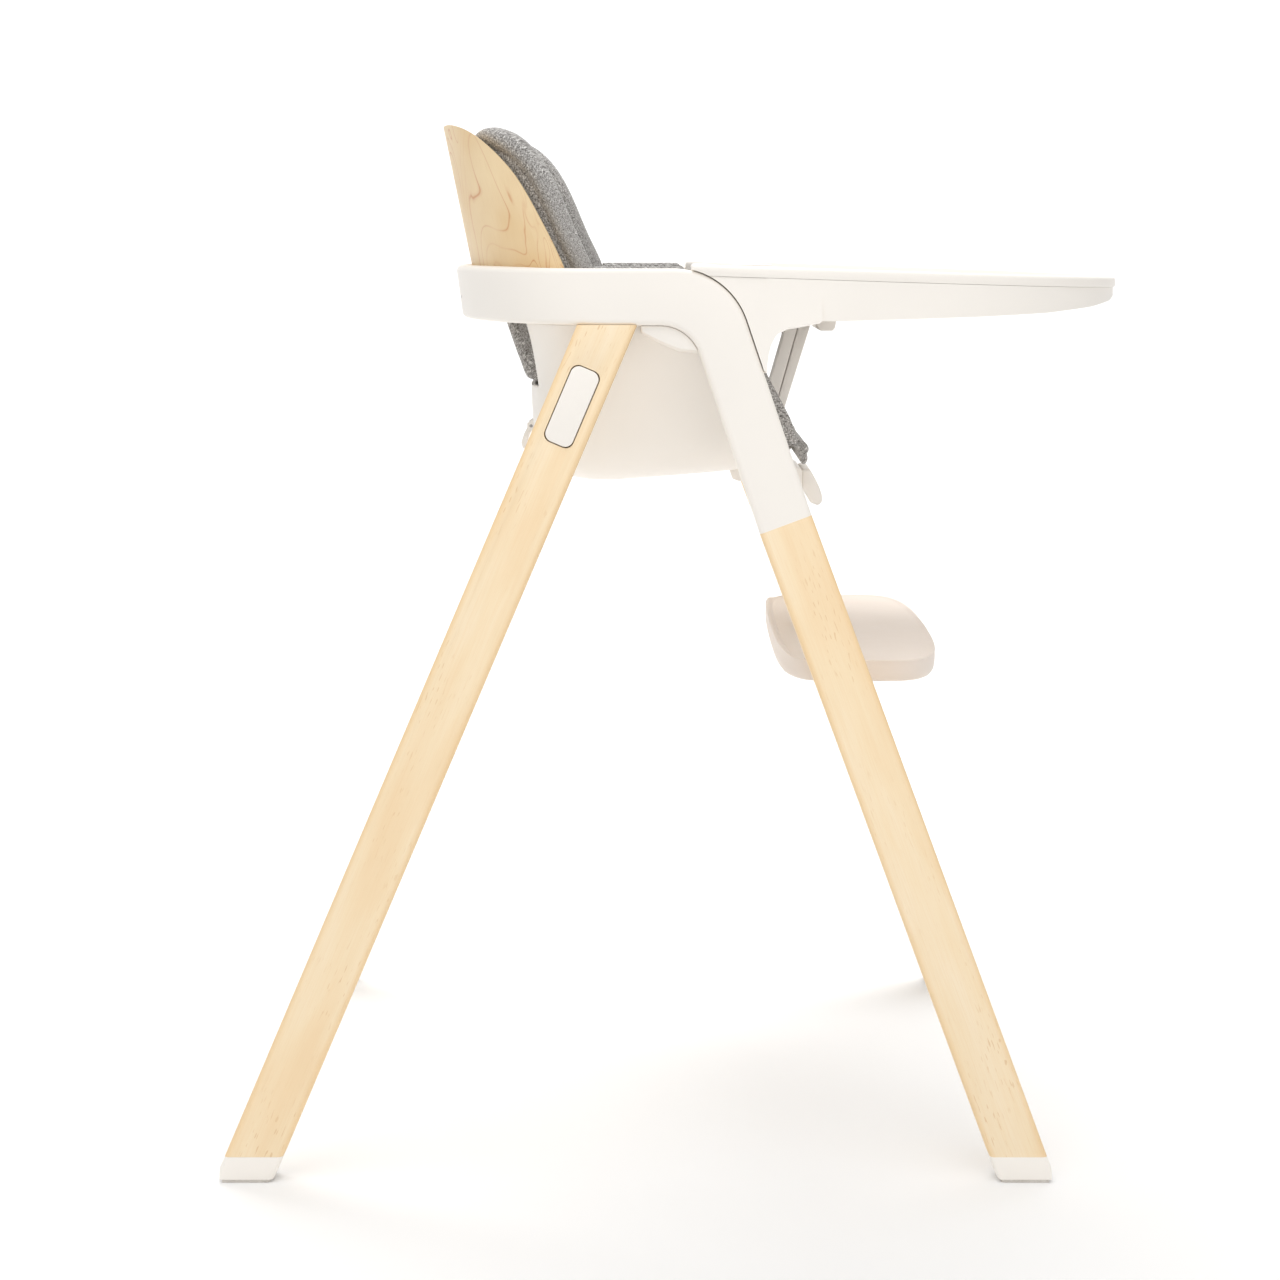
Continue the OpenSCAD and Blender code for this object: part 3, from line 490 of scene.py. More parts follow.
def design_copy(node, name):
    """A welded copy of a design part, with its flat faces whole again."""
    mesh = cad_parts[node].data.copy()
    shape = bmesh.new()
    shape.from_mesh(mesh)
    bmesh.ops.remove_doubles(shape, verts=shape.verts, dist=DESIGN_MERGE)
    bmesh.ops.dissolve_limit(shape, angle_limit=FLAT_ENOUGH, verts=shape.verts,
                             edges=shape.edges)
    shape.to_mesh(mesh)
    shape.free()
    for attribute in ("custom_normal", "sharp_edge", "sharp_face"):
        if attribute in mesh.attributes:
            mesh.attributes.remove(mesh.attributes[attribute])
    mesh.name = name
    return linked(name, mesh)


def moulded_copy(node, name, radius, material, body, slot, segments=3, angle=35):
    """A design part with rounded edges and its finish."""
    piece = design_copy(node, name)
    round_edges(piece, radius, segments, angle)
    finish_piece(piece, material, body, slot, node)
    print(name, len(piece.data.polygons), "faces")


def mm(*values):
    return Vector([v / 1000 for v in values])


print("shape helpers ready")

# %% [markdown]
# The side of the chair is a plane that leans 5 degrees, because the legs splay. Everything on it
# is drawn flat, forwards and up from the knee, and then leaned. Lengths here are the design's own,
# in millimetres, and become metres at the end.
# %% The leaning side plane
SPLAY = math.radians(5.0)
HALF_WIDTH = 235.0
KNEE = 720.0
HOOP_TOP, HOOP_BOTTOM = 756.0, 710.0
REAR_RAKE, FRONT_RAKE = math.radians(23.2), math.radians(20.4)
REAR_LEG_X, FRONT_LEG_X = -61.8, 16.8
LEG_WIDTH, LEG_THICK = 45.0, 26.0
SEAM = -184.4
ARM_RAKE = math.radians(18.84)
ARM_FRONT_X, ARM_REAR_X = 33.6, 2.0
OUTER_BEND, INNER_BEND = 63.0, 34.0
LEFT, RIGHT = 1, -1
SIDES = ((LEFT, "left"), (RIGHT, "right"))


def on_side(side, x, y, z):
    """A point of a side: x forwards, y inwards from the outer face, z up from the knee."""
    across = -HALF_WIDTH + y * math.cos(SPLAY) + z * math.sin(SPLAY)
    up = KNEE - y * math.sin(SPLAY) + z * math.cos(SPLAY)
    return mm(x, -side * across, up)


def plane_z(height):
    """Height on the side plane of a height above the floor."""
    return (height - KNEE) / math.cos(SPLAY)


ARM_TOP, ARM_UNDER = plane_z(HOOP_TOP), plane_z(HOOP_BOTTOM)
BEND_X = ARM_FRONT_X - OUTER_BEND * math.tan((math.pi / 2 - ARM_RAKE) / 2)
INNER_BEND_X = ARM_REAR_X - INNER_BEND * math.tan((math.pi / 2 - ARM_RAKE) / 2)


def arm_front(z):
    return ARM_FRONT_X + (ARM_TOP - z) * math.tan(ARM_RAKE)


print("arm bends at", round(BEND_X, 1), "and", round(INNER_BEND_X, 1), "mm")

# %% [markdown]
# The hoop and both arms are one moulding: a bar of nearly constant section that runs up one arm,
# bends level, goes round behind the seat and comes down the other arm. So it is made the same way,
# as a rounded section carried through a row of stations. Each station has the bar's upper edge,
# its lower edge and its thickness inwards. At the back the wall is thinner and leans in at the
# bottom.
# %% Stations of the hoop and arms
REAR_CENTRE = -68.0
REAR_LENGTH, REAR_WALL, SIDE_WALL = 137.5, 12.0, 28.0
REAR_TUCK = 6.0
ARM_SHARES = (0.0, 0.04, 0.3, 0.6, 0.95)
BEND_STEPS = 18


def arm_stations(side):
    """From the leg seam up to the hoop: pairs of upper and lower edge, and the wall."""
    flat = []
    low, half = SEAM * math.cos(FRONT_RAKE), LEG_WIDTH / 2 * math.sin(FRONT_RAKE)
    seam_x = FRONT_LEG_X - SEAM * math.sin(FRONT_RAKE)
    reach = LEG_WIDTH / 2 * math.cos(FRONT_RAKE)
    bend_front = (BEND_X + OUTER_BEND * math.cos(ARM_RAKE),
                  ARM_TOP - OUTER_BEND + OUTER_BEND * math.sin(ARM_RAKE))
    bend_rear = (INNER_BEND_X + INNER_BEND * math.cos(ARM_RAKE),
                 ARM_UNDER - INNER_BEND + INNER_BEND * math.sin(ARM_RAKE))
    seam_front, seam_rear = (seam_x + reach, low + half), (seam_x - reach, low - half)
    for share in ARM_SHARES:
        flat.append([tuple(a + (b - a) * share for a, b in zip(seam_front, bend_front)),
                     tuple(a + (b - a) * share for a, b in zip(seam_rear, bend_rear)), LEG_THICK])
    for step in range(BEND_STEPS + 1):
        angle = ARM_RAKE + (math.pi / 2 - ARM_RAKE) * step / BEND_STEPS
        flat.append([(BEND_X + OUTER_BEND * math.cos(angle),
                      ARM_TOP - OUTER_BEND * (1 - math.sin(angle))),
                     (INNER_BEND_X + INNER_BEND * math.cos(angle),
                      ARM_UNDER - INNER_BEND * (1 - math.sin(angle))), LEG_THICK])
    for x in (-30.0, -44.0, -56.0):
        thicker = (SIDE_WALL - LEG_THICK) * (-x - 30) / 26
        flat.append([(x, ARM_TOP), (x, ARM_UNDER), LEG_THICK + thicker])
    inward = on_side(side, 0, 1, 0) - on_side(side, 0, 0, 0)
    return [(on_side(side, top[0], 0, top[1]), on_side(side, low_edge[0], 0, low_edge[1]),
             inward.normalized(), wall / 1000) for top, low_edge, wall in flat]


def rear_stations(steps=64):
    """Round the back, from the right side to the left."""
    top_half = HALF_WIDTH - ARM_TOP * math.sin(SPLAY)
    low_half = HALF_WIDTH - ARM_UNDER * math.sin(SPLAY)
    rows = []
    for step in range(steps + 1):
        turn = math.radians(-90 + 180 * step / steps)
        c, s = math.cos(turn), math.sin(turn)
        top = mm(REAR_CENTRE - REAR_LENGTH * c, top_half * s, HOOP_TOP)
        low = mm(REAR_CENTRE - (REAR_LENGTH - REAR_TUCK) * c, low_half * s, HOOP_BOTTOM)
        normal = Vector((c / REAR_LENGTH, -s / HALF_WIDTH, 0)).normalized()
        wall = Vector((REAR_WALL * c, -SIDE_WALL * s, 0)).dot(normal) / 1000
        up = (top - low).normalized()
        inward = (normal - up * normal.dot(up)).normalized()
        rows.append((top, low, inward, wall))
    return rows


def rounded_section(top, low, inward, wall, radius=0.0048, steps=5):
    """Points round one station's section, with four rounded corners."""
    up = (top - low).normalized()
    height = (top - low).length
    r = min(radius, wall / 2 - 0.0008)
    centres = ((height - r, r, 90), (height - r, wall - r, 0), (r, wall - r, -90), (r, r, -180))
    ring = []
    for rise, depth, start in centres:
        for step in range(steps + 1):
            angle = math.radians(start + 90 - 90 * step / steps)
            ring.append(low + up * (rise + r * math.sin(angle))
                        + inward * (depth + r * math.cos(angle)))
    return ring


def swept(name, sections):
    """A closed solid through sections that all have the same number of points."""
    count = len(sections[0])
    points = [p for section in sections for p in section]
    faces = [(k * count + i, (k + 1) * count + i, (k + 1) * count + (i + 1) % count,
              k * count + (i + 1) % count)
             for k in range(len(sections) - 1) for i in range(count)]
    faces.append(tuple(range(count)))
    faces.append(tuple(reversed(range((len(sections) - 1) * count, len(sections) * count))))
    return object_from(name, points, faces)


right_arm, left_arm = arm_stations(RIGHT), arm_stations(LEFT)
stations = right_arm + rear_stations() + left_arm[::-1]
hoop = swept("hoop_and_arms", [rounded_section(*station) for station in stations])
finish_piece(hoop, white_plastic, "root", "white_plastic", "ring_frame")
print("hoop and arms:", len(stations), "stations,", len(hoop.data.polygons), "faces")

# %% [markdown]
# Inside the hoop's back a narrow ledge carries the plywood panel. It is a flat strip that follows
# the same curve.
# %% Ledge under the back panel
def loop_point(length, half_width, turn, height):
    return mm(REAR_CENTRE - length * math.cos(turn), half_width * math.sin(turn), height)


def ledge_sections(width=10.0, thickness=4.0, reach=math.radians(81.5)):
    rows = []
    for step in range(49):
        turn = -reach + 2 * reach * step / 48
        outer = (REAR_LENGTH - 9.5, HALF_WIDTH - 26.0)
        inner = (REAR_LENGTH - REAR_WALL - width, HALF_WIDTH - SIDE_WALL - width)
        rows.append([loop_point(*outer, turn, HOOP_BOTTOM + 0.2),
                     loop_point(*outer, turn, HOOP_BOTTOM + thickness),
                     loop_point(*inner, turn, HOOP_BOTTOM + thickness),
                     loop_point(*inner, turn, HOOP_BOTTOM + 0.2)])
    return rows


ledge = swept("hoop_ledge", ledge_sections())
finish_piece(ledge, white_plastic, "root", "white_plastic")
print("ledge", len(ledge.data.polygons), "faces")

# %% [markdown]
# # Legs and feet
# The design's legs already have rounded long edges, sockets and the button's pocket. Their cut
# ends and the pocket's rim get a fine break, as a cabinet maker would sand them. Then each leg
# receives its grain coordinates, measured in the leg's own directions, with a different start for
# every leg.
# %% Legs
def leg_directions(side, rake):
    """Across, through and along a leg, as unit directions."""
    knee = on_side(side, 0, 0, 0)
    across = on_side(side, math.cos(rake), 0, -math.sin(rake)) - knee
    through = on_side(side, 0, 1, 0) - knee
    along = on_side(side, math.sin(rake), 0, math.cos(rake)) - knee
    return [direction.normalized() for direction in (across, through, along)]


def add_grain(piece, side, centre_x, rake, start):
    origin = on_side(side, centre_x, LEG_THICK / 2, 0)
    across, through, along = leg_directions(side, rake)
    layer = piece.data.attributes.new("grain", "FLOAT_VECTOR", "POINT")
    for vertex in piece.data.vertices:
        offset = vertex.co - origin
        layer.data[vertex.index].vector = (offset.dot(across), offset.dot(through),
                                           offset.dot(along) + start)


# which pair, place of the knee, rake, and where each leg's figure starts along the tree
LEGS = (("rear", REAR_LEG_X, REAR_RAKE, (3.0, 0.0)),
        ("front", FRONT_LEG_X, -FRONT_RAKE, (5.0, 1.6)))
for end, centre_x, rake, starts in LEGS:
    for (side, label), start in zip(SIDES, starts):
        leg = design_copy(f"{end}_leg_{label}", f"{end}_leg_{label}_beech")
        round_edges(leg, 0.0005, 2, 50)
        add_grain(leg, side, centre_x, rake, start)
        finish_piece(leg, beech_wood, "root", "beech_wood", f"{end}_leg_{label}")
        moulded_copy(f"{end}_foot_{label}", f"{end}_foot_{label}_cap", 0.0016, white_plastic,
                     "root", "white_plastic")
        moulded_copy(f"{end}_sole_{label}", f"{end}_sole_{label}_pad", 0.0006, sole_rubber,
                     "root", "sole_rubber", 2)
        print(leg.name, len(leg.data.polygons), "faces")

# %% [markdown]
# A flat button sits flush in a pocket on each rear leg. Pressing it lets the legs fold off.
# %% Leg buttons
for _, label in SIDES:
    moulded_copy(f"leg_button_{label}", f"leg_button_{label}_cap", 0.0009, white_plastic,
                 f"leg_button_{label}", "white_plastic", 3, 50)

# %% [markdown]
# # The seat shell
# The shell is a deep moulded tub. Its outside is a surface through level outlines that grow wider
# and squarer towards the rim. The outlines are blended smoothly, the leg opening and the window
# behind the back are cut out of the sheet, and only then does the sheet get its wall and rounded
# rim.
# %% Shell surface
# height, rear, front, half-width, front squareness, share of the floor's rise
SHELL_LEVELS = np.array([
    [574, -78, 70, 100, 4, 1], [576.5, -103, 86, 122, 4, 1], [584, -119, 93, 138, 5, 1],
    [600, -128, 97, 149, 8, 0.6], [622, -132.8, 98, 156, 14, 0.2], [660, -134, 98, 168, 14, 0],
    [690, -137, 98, 181, 14, 0], [709.5, -141, 98, 190, 14, 0]])
SEAT_MIDDLE, SEAT_RISE, REAR_SQUARENESS, SHELL_WALL = -60.0, 0.075, 3.2, 3.5


def blended_levels(levels, steps):
    """Levels between the given ones, on a smooth curve through them."""
    rows = []
    last = len(levels) - 1
    for step in range(last * steps + 1):
        place = step / steps
        k = min(int(place), last - 1)
        t = place - k
        before, here = levels[max(k - 1, 0)], levels[k]
        there, after = levels[k + 1], levels[min(k + 2, last)]
        rows.append(0.5 * (2 * here + (there - before) * t
                           + (2 * before - 5 * here + 4 * there - after) * t ** 2
                           + (3 * here - before - 3 * there + after) * t ** 3))
    return rows


def power(value, exponent):
    return math.copysign(abs(value) ** exponent, value)


def outline(rear, middle, front, half_width, rear_power, front_power, count):
    points = []
    for step in range(count):
        turn = 2 * math.pi * step / count
        c, s = math.cos(turn), math.sin(turn)
        squareness = rear_power if c < 0 else front_power
        reach = middle - rear if c < 0 else front - middle
        points.append((middle + reach * power(c, 2 / squareness),
                       half_width * power(s, 2 / squareness)))
    return points


def shell_rings(count=168):
    rings = []
    for z, rear, front, half, front_power, rise in blended_levels(SHELL_LEVELS, 6):
        rings.append([mm(x, y, z + rise * SEAT_RISE * (x - rear - 13))
                      for x, y in outline(rear, SEAT_MIDDLE, front, half, REAR_SQUARENESS,
                                          front_power, count)])
    return rings


def open_loft(name, rings):
    """A sheet through the rings, with a floor drawn in from the lowest one."""
    count = len(rings[0])
    middle = sum(rings[0], Vector()) / count
    floor_rings = [[middle + (p - middle) * share for p in rings[0]] for share in (0.3, 0.6, 0.85)]
    everything = floor_rings + rings
    points = [middle] + [p for ring in everything for p in ring]
    faces = [(0, 1 + i, 1 + (i + 1) % count) for i in range(count)]
    faces += [(1 + k * count + i, 1 + (k + 1) * count + i, 1 + (k + 1) * count + (i + 1) % count,
               1 + k * count + (i + 1) % count)
              for k in range(len(everything) - 1) for i in range(count)]
    return object_from(name, points, faces)


shell = open_loft("seat_shell_tub", shell_rings())
print("shell sheet", len(shell.data.polygons), "faces")

# %% Openings in the shell, then its wall
LIP = 0.600
WINDOW_HALF, WINDOW_BOTTOM = 0.122, 0.653


def cut_away(piece, planes, inside):
    """Slices the sheet along planes, then removes the faces whose middles are inside."""
    shape = bmesh.new()
    shape.from_mesh(piece.data)
    for point, normal in planes:
        bmesh.ops.bisect_plane(shape, geom=shape.verts[:] + shape.edges[:] + shape.faces[:],
                               plane_co=point, plane_no=normal)
    gone = [face for face in shape.faces if inside(face.calc_center_median())]
    bmesh.ops.delete(shape, geom=gone, context="FACES")
    shape.to_mesh(piece.data)
    shape.free()


opening_front = (arm_front(plane_z(LIP * 1000)) - 8) / 1000
opening_slope = math.tan(ARM_RAKE) / math.cos(SPLAY)
cut_away(shell, [((0, 0, LIP), (0, 0, 1)), ((opening_front, 0, LIP), (1, 0, opening_slope))],
         lambda p: p.z > LIP and p.x - opening_front + opening_slope * (p.z - LIP) > 0)
cut_away(shell, [((0, -WINDOW_HALF, 0), (0, 1, 0)), ((0, WINDOW_HALF, 0), (0, 1, 0)),
                 ((0, 0, WINDOW_BOTTOM), (0, 0, 1))],
         lambda p: p.z > WINDOW_BOTTOM and abs(p.y) < WINDOW_HALF and p.x < -0.09)
wall = shell.modifiers.new("wall", "SOLIDIFY")
wall.thickness = SHELL_WALL / 1000
wall.offset = -1.0
settle(shell)
round_edges(shell, 0.0012, 3, 60)
finish_piece(shell, white_plastic, "root", "white_plastic", "seat_shell")
print("seat shell", len(shell.data.polygons), "faces")

# %% [markdown]
# Two flanges on the shell reach out under the arms and take the screws. Their front edge follows
# the arm's inner bend.
# %% Shell flanges
def flange_outline(gap=0.2):
    points = [(-38.0, ARM_UNDER - gap)]
    radius = INNER_BEND - gap
    for step in range(13):
        angle = math.radians(90 - 63 * step / 12)
        points.append((INNER_BEND_X + radius * math.cos(angle),
                       ARM_UNDER - INNER_BEND + radius * math.sin(angle)))
    points += [(8.2, plane_z(689.5)), (-6, plane_z(690.5)), (-22, plane_z(697)),
               (-32, plane_z(702)), (-38, plane_z(705))]
    return points


for side, label in SIDES:
    sections = [[on_side(side, x, y, z) for x, z in flange_outline()] for y in (6.0, 52.0)]
    flange = swept(f"shell_flange_{label}", sections)
    round_edges(flange, 0.0016, 3, 40)
    finish_piece(flange, white_plastic, "root", "white_plastic")
print("two flanges")

# %% [markdown]
# # The bent plywood back
# The panel is part of an oval tube that leans back. Its outline comes from the side: a straight
# cut through both flanks that sweeps from the top down into the hoop. The sheet is a grid of
# columns round the tube, each as tall as the cut allows, once for the outer face and once for the
# inner.
# %% Leaning oval and side cuts
BACK_LEAN = math.radians(11.2)
TALLEST, HALVINGS = 220.0, 40
PANEL_EDGE = [(-217, 877), (-206, 877), (-194.4, 874), (-182, 868), (-170.3, 859.5),
              (-157, 847.5), (-140.3, 828), (-119.5, 792), (-101.9, 756), (-90, 720), (-84, 700)]
PAD_EDGE = [(-204, 858), (-192, 861), (-184, 867.5), (-177, 871), (-165.6, 871.5), (-149, 866.5),
            (-136, 858), (-123, 844), (-110, 822), (-94, 786), (-78.5, 754), (-68, 716), (-64, 700)]


def on_tube(length, half_width, turn, rise):
    """A point of the leaning oval tube, in mm. rise runs along the tube from hoop-top height."""
    x, y = -length * math.cos(turn), half_width * math.sin(turn)
    return (REAR_CENTRE + x * math.cos(BACK_LEAN) - rise * math.sin(BACK_LEAN), y,
            HOOP_TOP + x * math.sin(BACK_LEAN) + rise * math.cos(BACK_LEAN))


def smooth_edge(edge, steps=8):
    """The same edge line with a smooth curve through its points."""
    return [(row[0], row[1]) for row in blended_levels(np.array(edge, float), steps)]


def edge_distance(edge, x, z):
    """How far a point lies behind the edge line, in the side view."""
    best = math.inf
    for (x0, z0), (x1, z1) in zip(edge, edge[1:]):
        dx, dz = x1 - x0, z1 - z0
        t = min(1.0, max(0.0, ((x - x0) * dx + (z - z0) * dz) / (dx * dx + dz * dz)))
        gap = math.hypot(x - x0 - t * dx, z - z0 - t * dz)
        side_sign = 1.0 if dx * (z - z0) - dz * (x - x0) < 0 else -1.0
        if gap < abs(best):
            best = gap * side_sign
    return best


def column(length, half_width, turn, bottom, edge):
    """Lowest and highest rise of a column, from a floor height up to the edge line."""
    base = on_tube(length, half_width, turn, 0.0)
    start = (bottom - base[2]) / math.cos(BACK_LEAN)
    low, high = start, start + TALLEST
    for _ in range(HALVINGS):
        middle = (low + high) / 2
        x, _, z = on_tube(length, half_width, turn, middle)
        if edge_distance(edge, x, z) > 0.0:
            low = middle
        else:
            high = middle
    return start, low


PANEL_TUBE, PANEL_BOTTOM, PANEL_THICK = (121, 205), 714.2, 9.0
panel_edge = smooth_edge(PANEL_EDGE)
tallest = column(*PANEL_TUBE, 0.0, PANEL_BOTTOM, panel_edge)[1]
print("panel top", [round(v, 1) for v in on_tube(*PANEL_TUBE, 0.0, tallest)])

# %% Closed grids
def closed_grid(name, outer, inner, depth):
    """A closed solid between two grids of points, joined round their rim. The attribute sheet
    keeps each point's place on the unrolled material, in metres: along, up and through."""
    rows, columns = len(outer), len(outer[0])
    count = rows * columns
    points = [p for row in outer for p in row] + [p for row in inner for p in row]
    faces = []
    for i in range(rows - 1):
        for j in range(columns - 1):
            a, b = i * columns + j, (i + 1) * columns + j
            faces.append((a, b, b + 1, a + 1))
            faces.append((count + a, count + a + 1, count + b + 1, count + b))
    rim = list(range(columns))
    rim += [i * columns + columns - 1 for i in range(1, rows)]
    rim += [(rows - 1) * columns + j for j in range(columns - 2, -1, -1)]
    rim += [i * columns for i in range(rows - 2, 0, -1)]
    for here, there in zip(rim, rim[1:] + rim[:1]):
        faces.append((here, there, count + there, count + here))
    mesh = bpy.data.meshes.new(name)
    mesh.from_pydata([tuple(p) for p in points], [], faces)
    layer = mesh.attributes.new("sheet", "FLOAT_VECTOR", "POINT")
    places = measured(outer, inner, depth)
    layer.data.foreach_set("vector", np.array(places, np.float32).ravel())
    faced_outwards(mesh)
    smooth_faces(mesh, 45)
    return linked(name, mesh)


def measured(outer, inner, depth):
    """Places on the unrolled material: distance along a row, distance up a column, and depth."""
    def lengths(grid):
        grid = np.array([[tuple(p) for p in row] for row in grid])
        along = np.zeros(grid.shape[:2])
        up = np.zeros(grid.shape[:2])
        along[:, 1:] = np.cumsum(np.linalg.norm(np.diff(grid, axis=1), axis=2), axis=1)
        along -= along[:, along.shape[1] // 2][:, None]
        up[1:] = np.cumsum(np.linalg.norm(np.diff(grid, axis=0), axis=2), axis=0)
        return np.stack([along, up], axis=2)
    first, second = lengths(outer), lengths(inner)
    first = np.concatenate([first, np.zeros(first.shape[:2] + (1,))], axis=2)
    second = np.concatenate([second, np.full(second.shape[:2] + (1,), depth)], axis=2)
    return np.concatenate([first.reshape(-1, 3), second.reshape(-1, 3)])


print("closed grids ready")

# %% The panel
PANEL_REACH, PANEL_SIDE_STEPS, PANEL_ROWS = math.radians(79.5), 36, 26


def tube_columns(length, half_width, turns, bottom, edge, steps):
    """Columns of points on the tube, in metres, from the bottom up to the edge."""
    grid = [[] for _ in range(steps + 1)]
    for turn in turns:
        start, end = column(length, half_width, turn, bottom, edge)
        for i in range(steps + 1):
            rise = start + (end - start) * i / steps
            grid[i].append(mm(*on_tube(length, half_width, turn, rise)))
    return grid


panel_turns = [PANEL_REACH * math.sin(math.pi / 2 * j / PANEL_SIDE_STEPS)
               for j in range(-PANEL_SIDE_STEPS, PANEL_SIDE_STEPS + 1)]
panel_outer, panel_inner = [
    tube_columns(PANEL_TUBE[0] - depth, PANEL_TUBE[1] - depth, panel_turns, PANEL_BOTTOM,
                 panel_edge, PANEL_ROWS) for depth in (0, PANEL_THICK)]
panel = closed_grid("back_panel_maple", panel_outer, panel_inner, PANEL_THICK / 1000)
round_edges(panel, 0.0022, 4, 50)
finish_piece(panel, back_plywood, "root", "back_plywood", "back_panel")
print("back panel", len(panel.data.polygons), "faces")

# %% [markdown]
# # Pads
# A pad is cut flat, sewn and filled, so it swells between its seams. Each pad starts as a closed
# grid a little thinner than the real one. The cloth simulation blows it up gently: its back and
# its seam lines are held, gravity is off, and no point may move further than a cap. The seam rows
# stay behind as sewn channels. One subdivision then smooths the cloth.
# %% Inflating a pad
def inflate(piece, held, pressure, cap, frames=20):
    """Cloth under pressure, with held points pinned, applied to the mesh."""
    rest = np.array([v.co for v in piece.data.vertices])
    group = piece.vertex_groups.new(name="held")
    group.add([int(i) for i in held], 1.0, "REPLACE")
    cloth = piece.modifiers.new("cloth", "CLOTH")
    settings = cloth.settings
    settings.vertex_group_mass = "held"
    settings.quality = 6
    settings.mass = 0.25
    settings.tension_stiffness = settings.compression_stiffness = 18
    settings.shear_stiffness = 8
    settings.bending_stiffness = 1.2
    settings.use_pressure = True
    settings.uniform_pressure_force = pressure
    settings.effector_weights.gravity = 0.0
    cloth.collision_settings.use_collision = False
    cloth.point_cache.frame_start, cloth.point_cache.frame_end = 1, frames
    for frame_number in range(1, frames + 1):
        scene.frame_set(frame_number)
    settle(piece)
    scene.frame_set(1)
    piece.vertex_groups.clear()
    now = np.array([v.co for v in piece.data.vertices])
    moved = now - rest
    far = np.linalg.norm(moved, axis=1)
    moved *= np.minimum(1.0, cap / np.maximum(far, 1e-9))[:, None]
    piece.data.vertices.foreach_set("co", (rest + moved).ravel())
    print(piece.name, "swelled by up to", round(float(min(far.max(), cap)) * 1000, 1), "mm")


def subdivided(piece):
    smoother = piece.modifiers.new("smoother", "SUBSURF")
    smoother.levels = smoother.render_levels = 1
    settle(piece)
    piece.data.shade_smooth()


def rounding(distance, radius):
    """Rise of a quarter round: 0 at the edge, 1 from the radius inwards."""
    share = min(1.0, max(0.0, distance / radius))
    return math.sqrt(1 - (1 - share) ** 2)


print("pad helpers ready")

# %% [markdown]
# The back pad lines the plywood. Round its rim runs a roll with a seam beside it, and the roll
# swells out where the panel stops covering it. Two more seams run up the front and part the middle
# from the side bolsters, which hold the child's shoulders.
# %% Back pad
PAD_BACK = (PANEL_TUBE[0] - PANEL_THICK - 1.0, 190.0)
PAD_GUSSET, PAD_RISE, PAD_ROUND = 7.5, 11.0, 14.0
PAD_BOTTOM = 716.0
CHANNEL_TURN, CHANNEL_DEPTH, CHANNEL_REACH = math.radians(40.0), 7.0, 11.0
CHANNEL_SCALE, SIDE_SCALE, LEAST_THICK = 150, 0.62, 1.5
ROLL_SEAM, ROLL_GROOVE, ROLL_CURL, ROLL_BULGE = 16.5, 2.6, 6.0, 2.2
GROOVE_REACH, CURL_REACH, FREE_REACH = 3.2, 9.0, 8.0


def side_roll(gap, beyond_panel):
    """How far the pad's outer face lies inside the panel's line, near its rim. A seam runs beside
    the rim, and the strip between the two swells out where the panel no longer covers it."""
    groove = ROLL_GROOVE * max(0.0, 1 - abs(gap - ROLL_SEAM) / GROOVE_REACH) ** 1.5
    curl = ROLL_CURL * (1 - rounding(gap, CURL_REACH))
    free = min(1.0, max(0.0, beyond_panel / FREE_REACH))
    bulge = ROLL_BULGE * free * math.sin(math.pi * min(1.0, max(0.0, gap) / ROLL_SEAM))
    return groove + curl - bulge


def back_pad_grids(rows=38, columns=96, reach=math.radians(87.0)):
    edge = smooth_edge(PAD_EDGE)
    turns = [reach * math.sin(math.pi / 2 * (2 * j / columns - 1)) for j in range(columns + 1)]
    behind, front = [[] for _ in range(rows + 1)], [[] for _ in range(rows + 1)]
    seams, pressed = [], []
    for j, turn in enumerate(turns):
        start, end = column(*PAD_BACK, turn, PAD_BOTTOM, edge)
        side_gap = (reach - abs(turn)) * PAD_BACK[1] * SIDE_SCALE
        for i in range(rows + 1):
            share = math.sin(math.pi / 2 * i / rows) ** 1.2
            rise = start + (end - start) * share
            x, _, z = on_tube(*PAD_BACK, turn, rise)
            rim_gap = max(edge_distance(edge, x, z), 0.0)
            gap = min(rim_gap, side_gap + 30 * (1 - share), (rise - start) + 8)
            thick = PAD_GUSSET + PAD_RISE * rounding(gap, PAD_ROUND)
            from_channel = abs(abs(turn) - CHANNEL_TURN) * CHANNEL_SCALE
            dip = max(0.0, 1 - from_channel / CHANNEL_REACH) ** 1.5 if gap > 4 else 0.0
            thick -= CHANNEL_DEPTH * dip
            if dip > 0.9:
                seams.append((i, j))
            if rim_gap > ROLL_SEAM - 2:
                pressed.append((i, j))
            inward = side_roll(rim_gap, -edge_distance(panel_edge, x, z))
            thick = max(thick, inward + LEAST_THICK)
            for grid, depth in ((behind, inward), (front, thick)):
                grid[i].append(mm(*on_tube(PAD_BACK[0] - depth, PAD_BACK[1] - depth, turn, rise)))
    return behind, front, seams, pressed


behind, front, channel_points, pressed_points = back_pad_grids()
back_pad = closed_grid("back_pad_cover", behind, front, 0.03)
pad_rows, pad_columns = len(behind), len(behind[0])
sheet_size = pad_rows * pad_columns
held = [i * pad_columns + j for i, j in pressed_points]
held += [sheet_size + i * pad_columns + j for i, j in channel_points]
held += [sheet_size + (pad_rows - 1) * pad_columns + j for j in range(pad_columns)]
held += [sheet_size + i * pad_columns + j for i in range(pad_rows) for j in (0, pad_columns - 1)]
inflate(back_pad, held, 3.0, 0.004)
subdivided(back_pad)
finish_piece(back_pad, grey_fabric, "root", "grey_fabric", "back_pad")
print("back pad", len(back_pad.data.polygons), "faces")

# %% [markdown]
# Below the hoop the same cover hangs down the back of the tub and tucks behind the seat cushion.
# It shows through the window behind the seat, so it is made as a padded slab along a side-view
# line.
# %% Lower back pad
PAD_DEPTH = 0.02


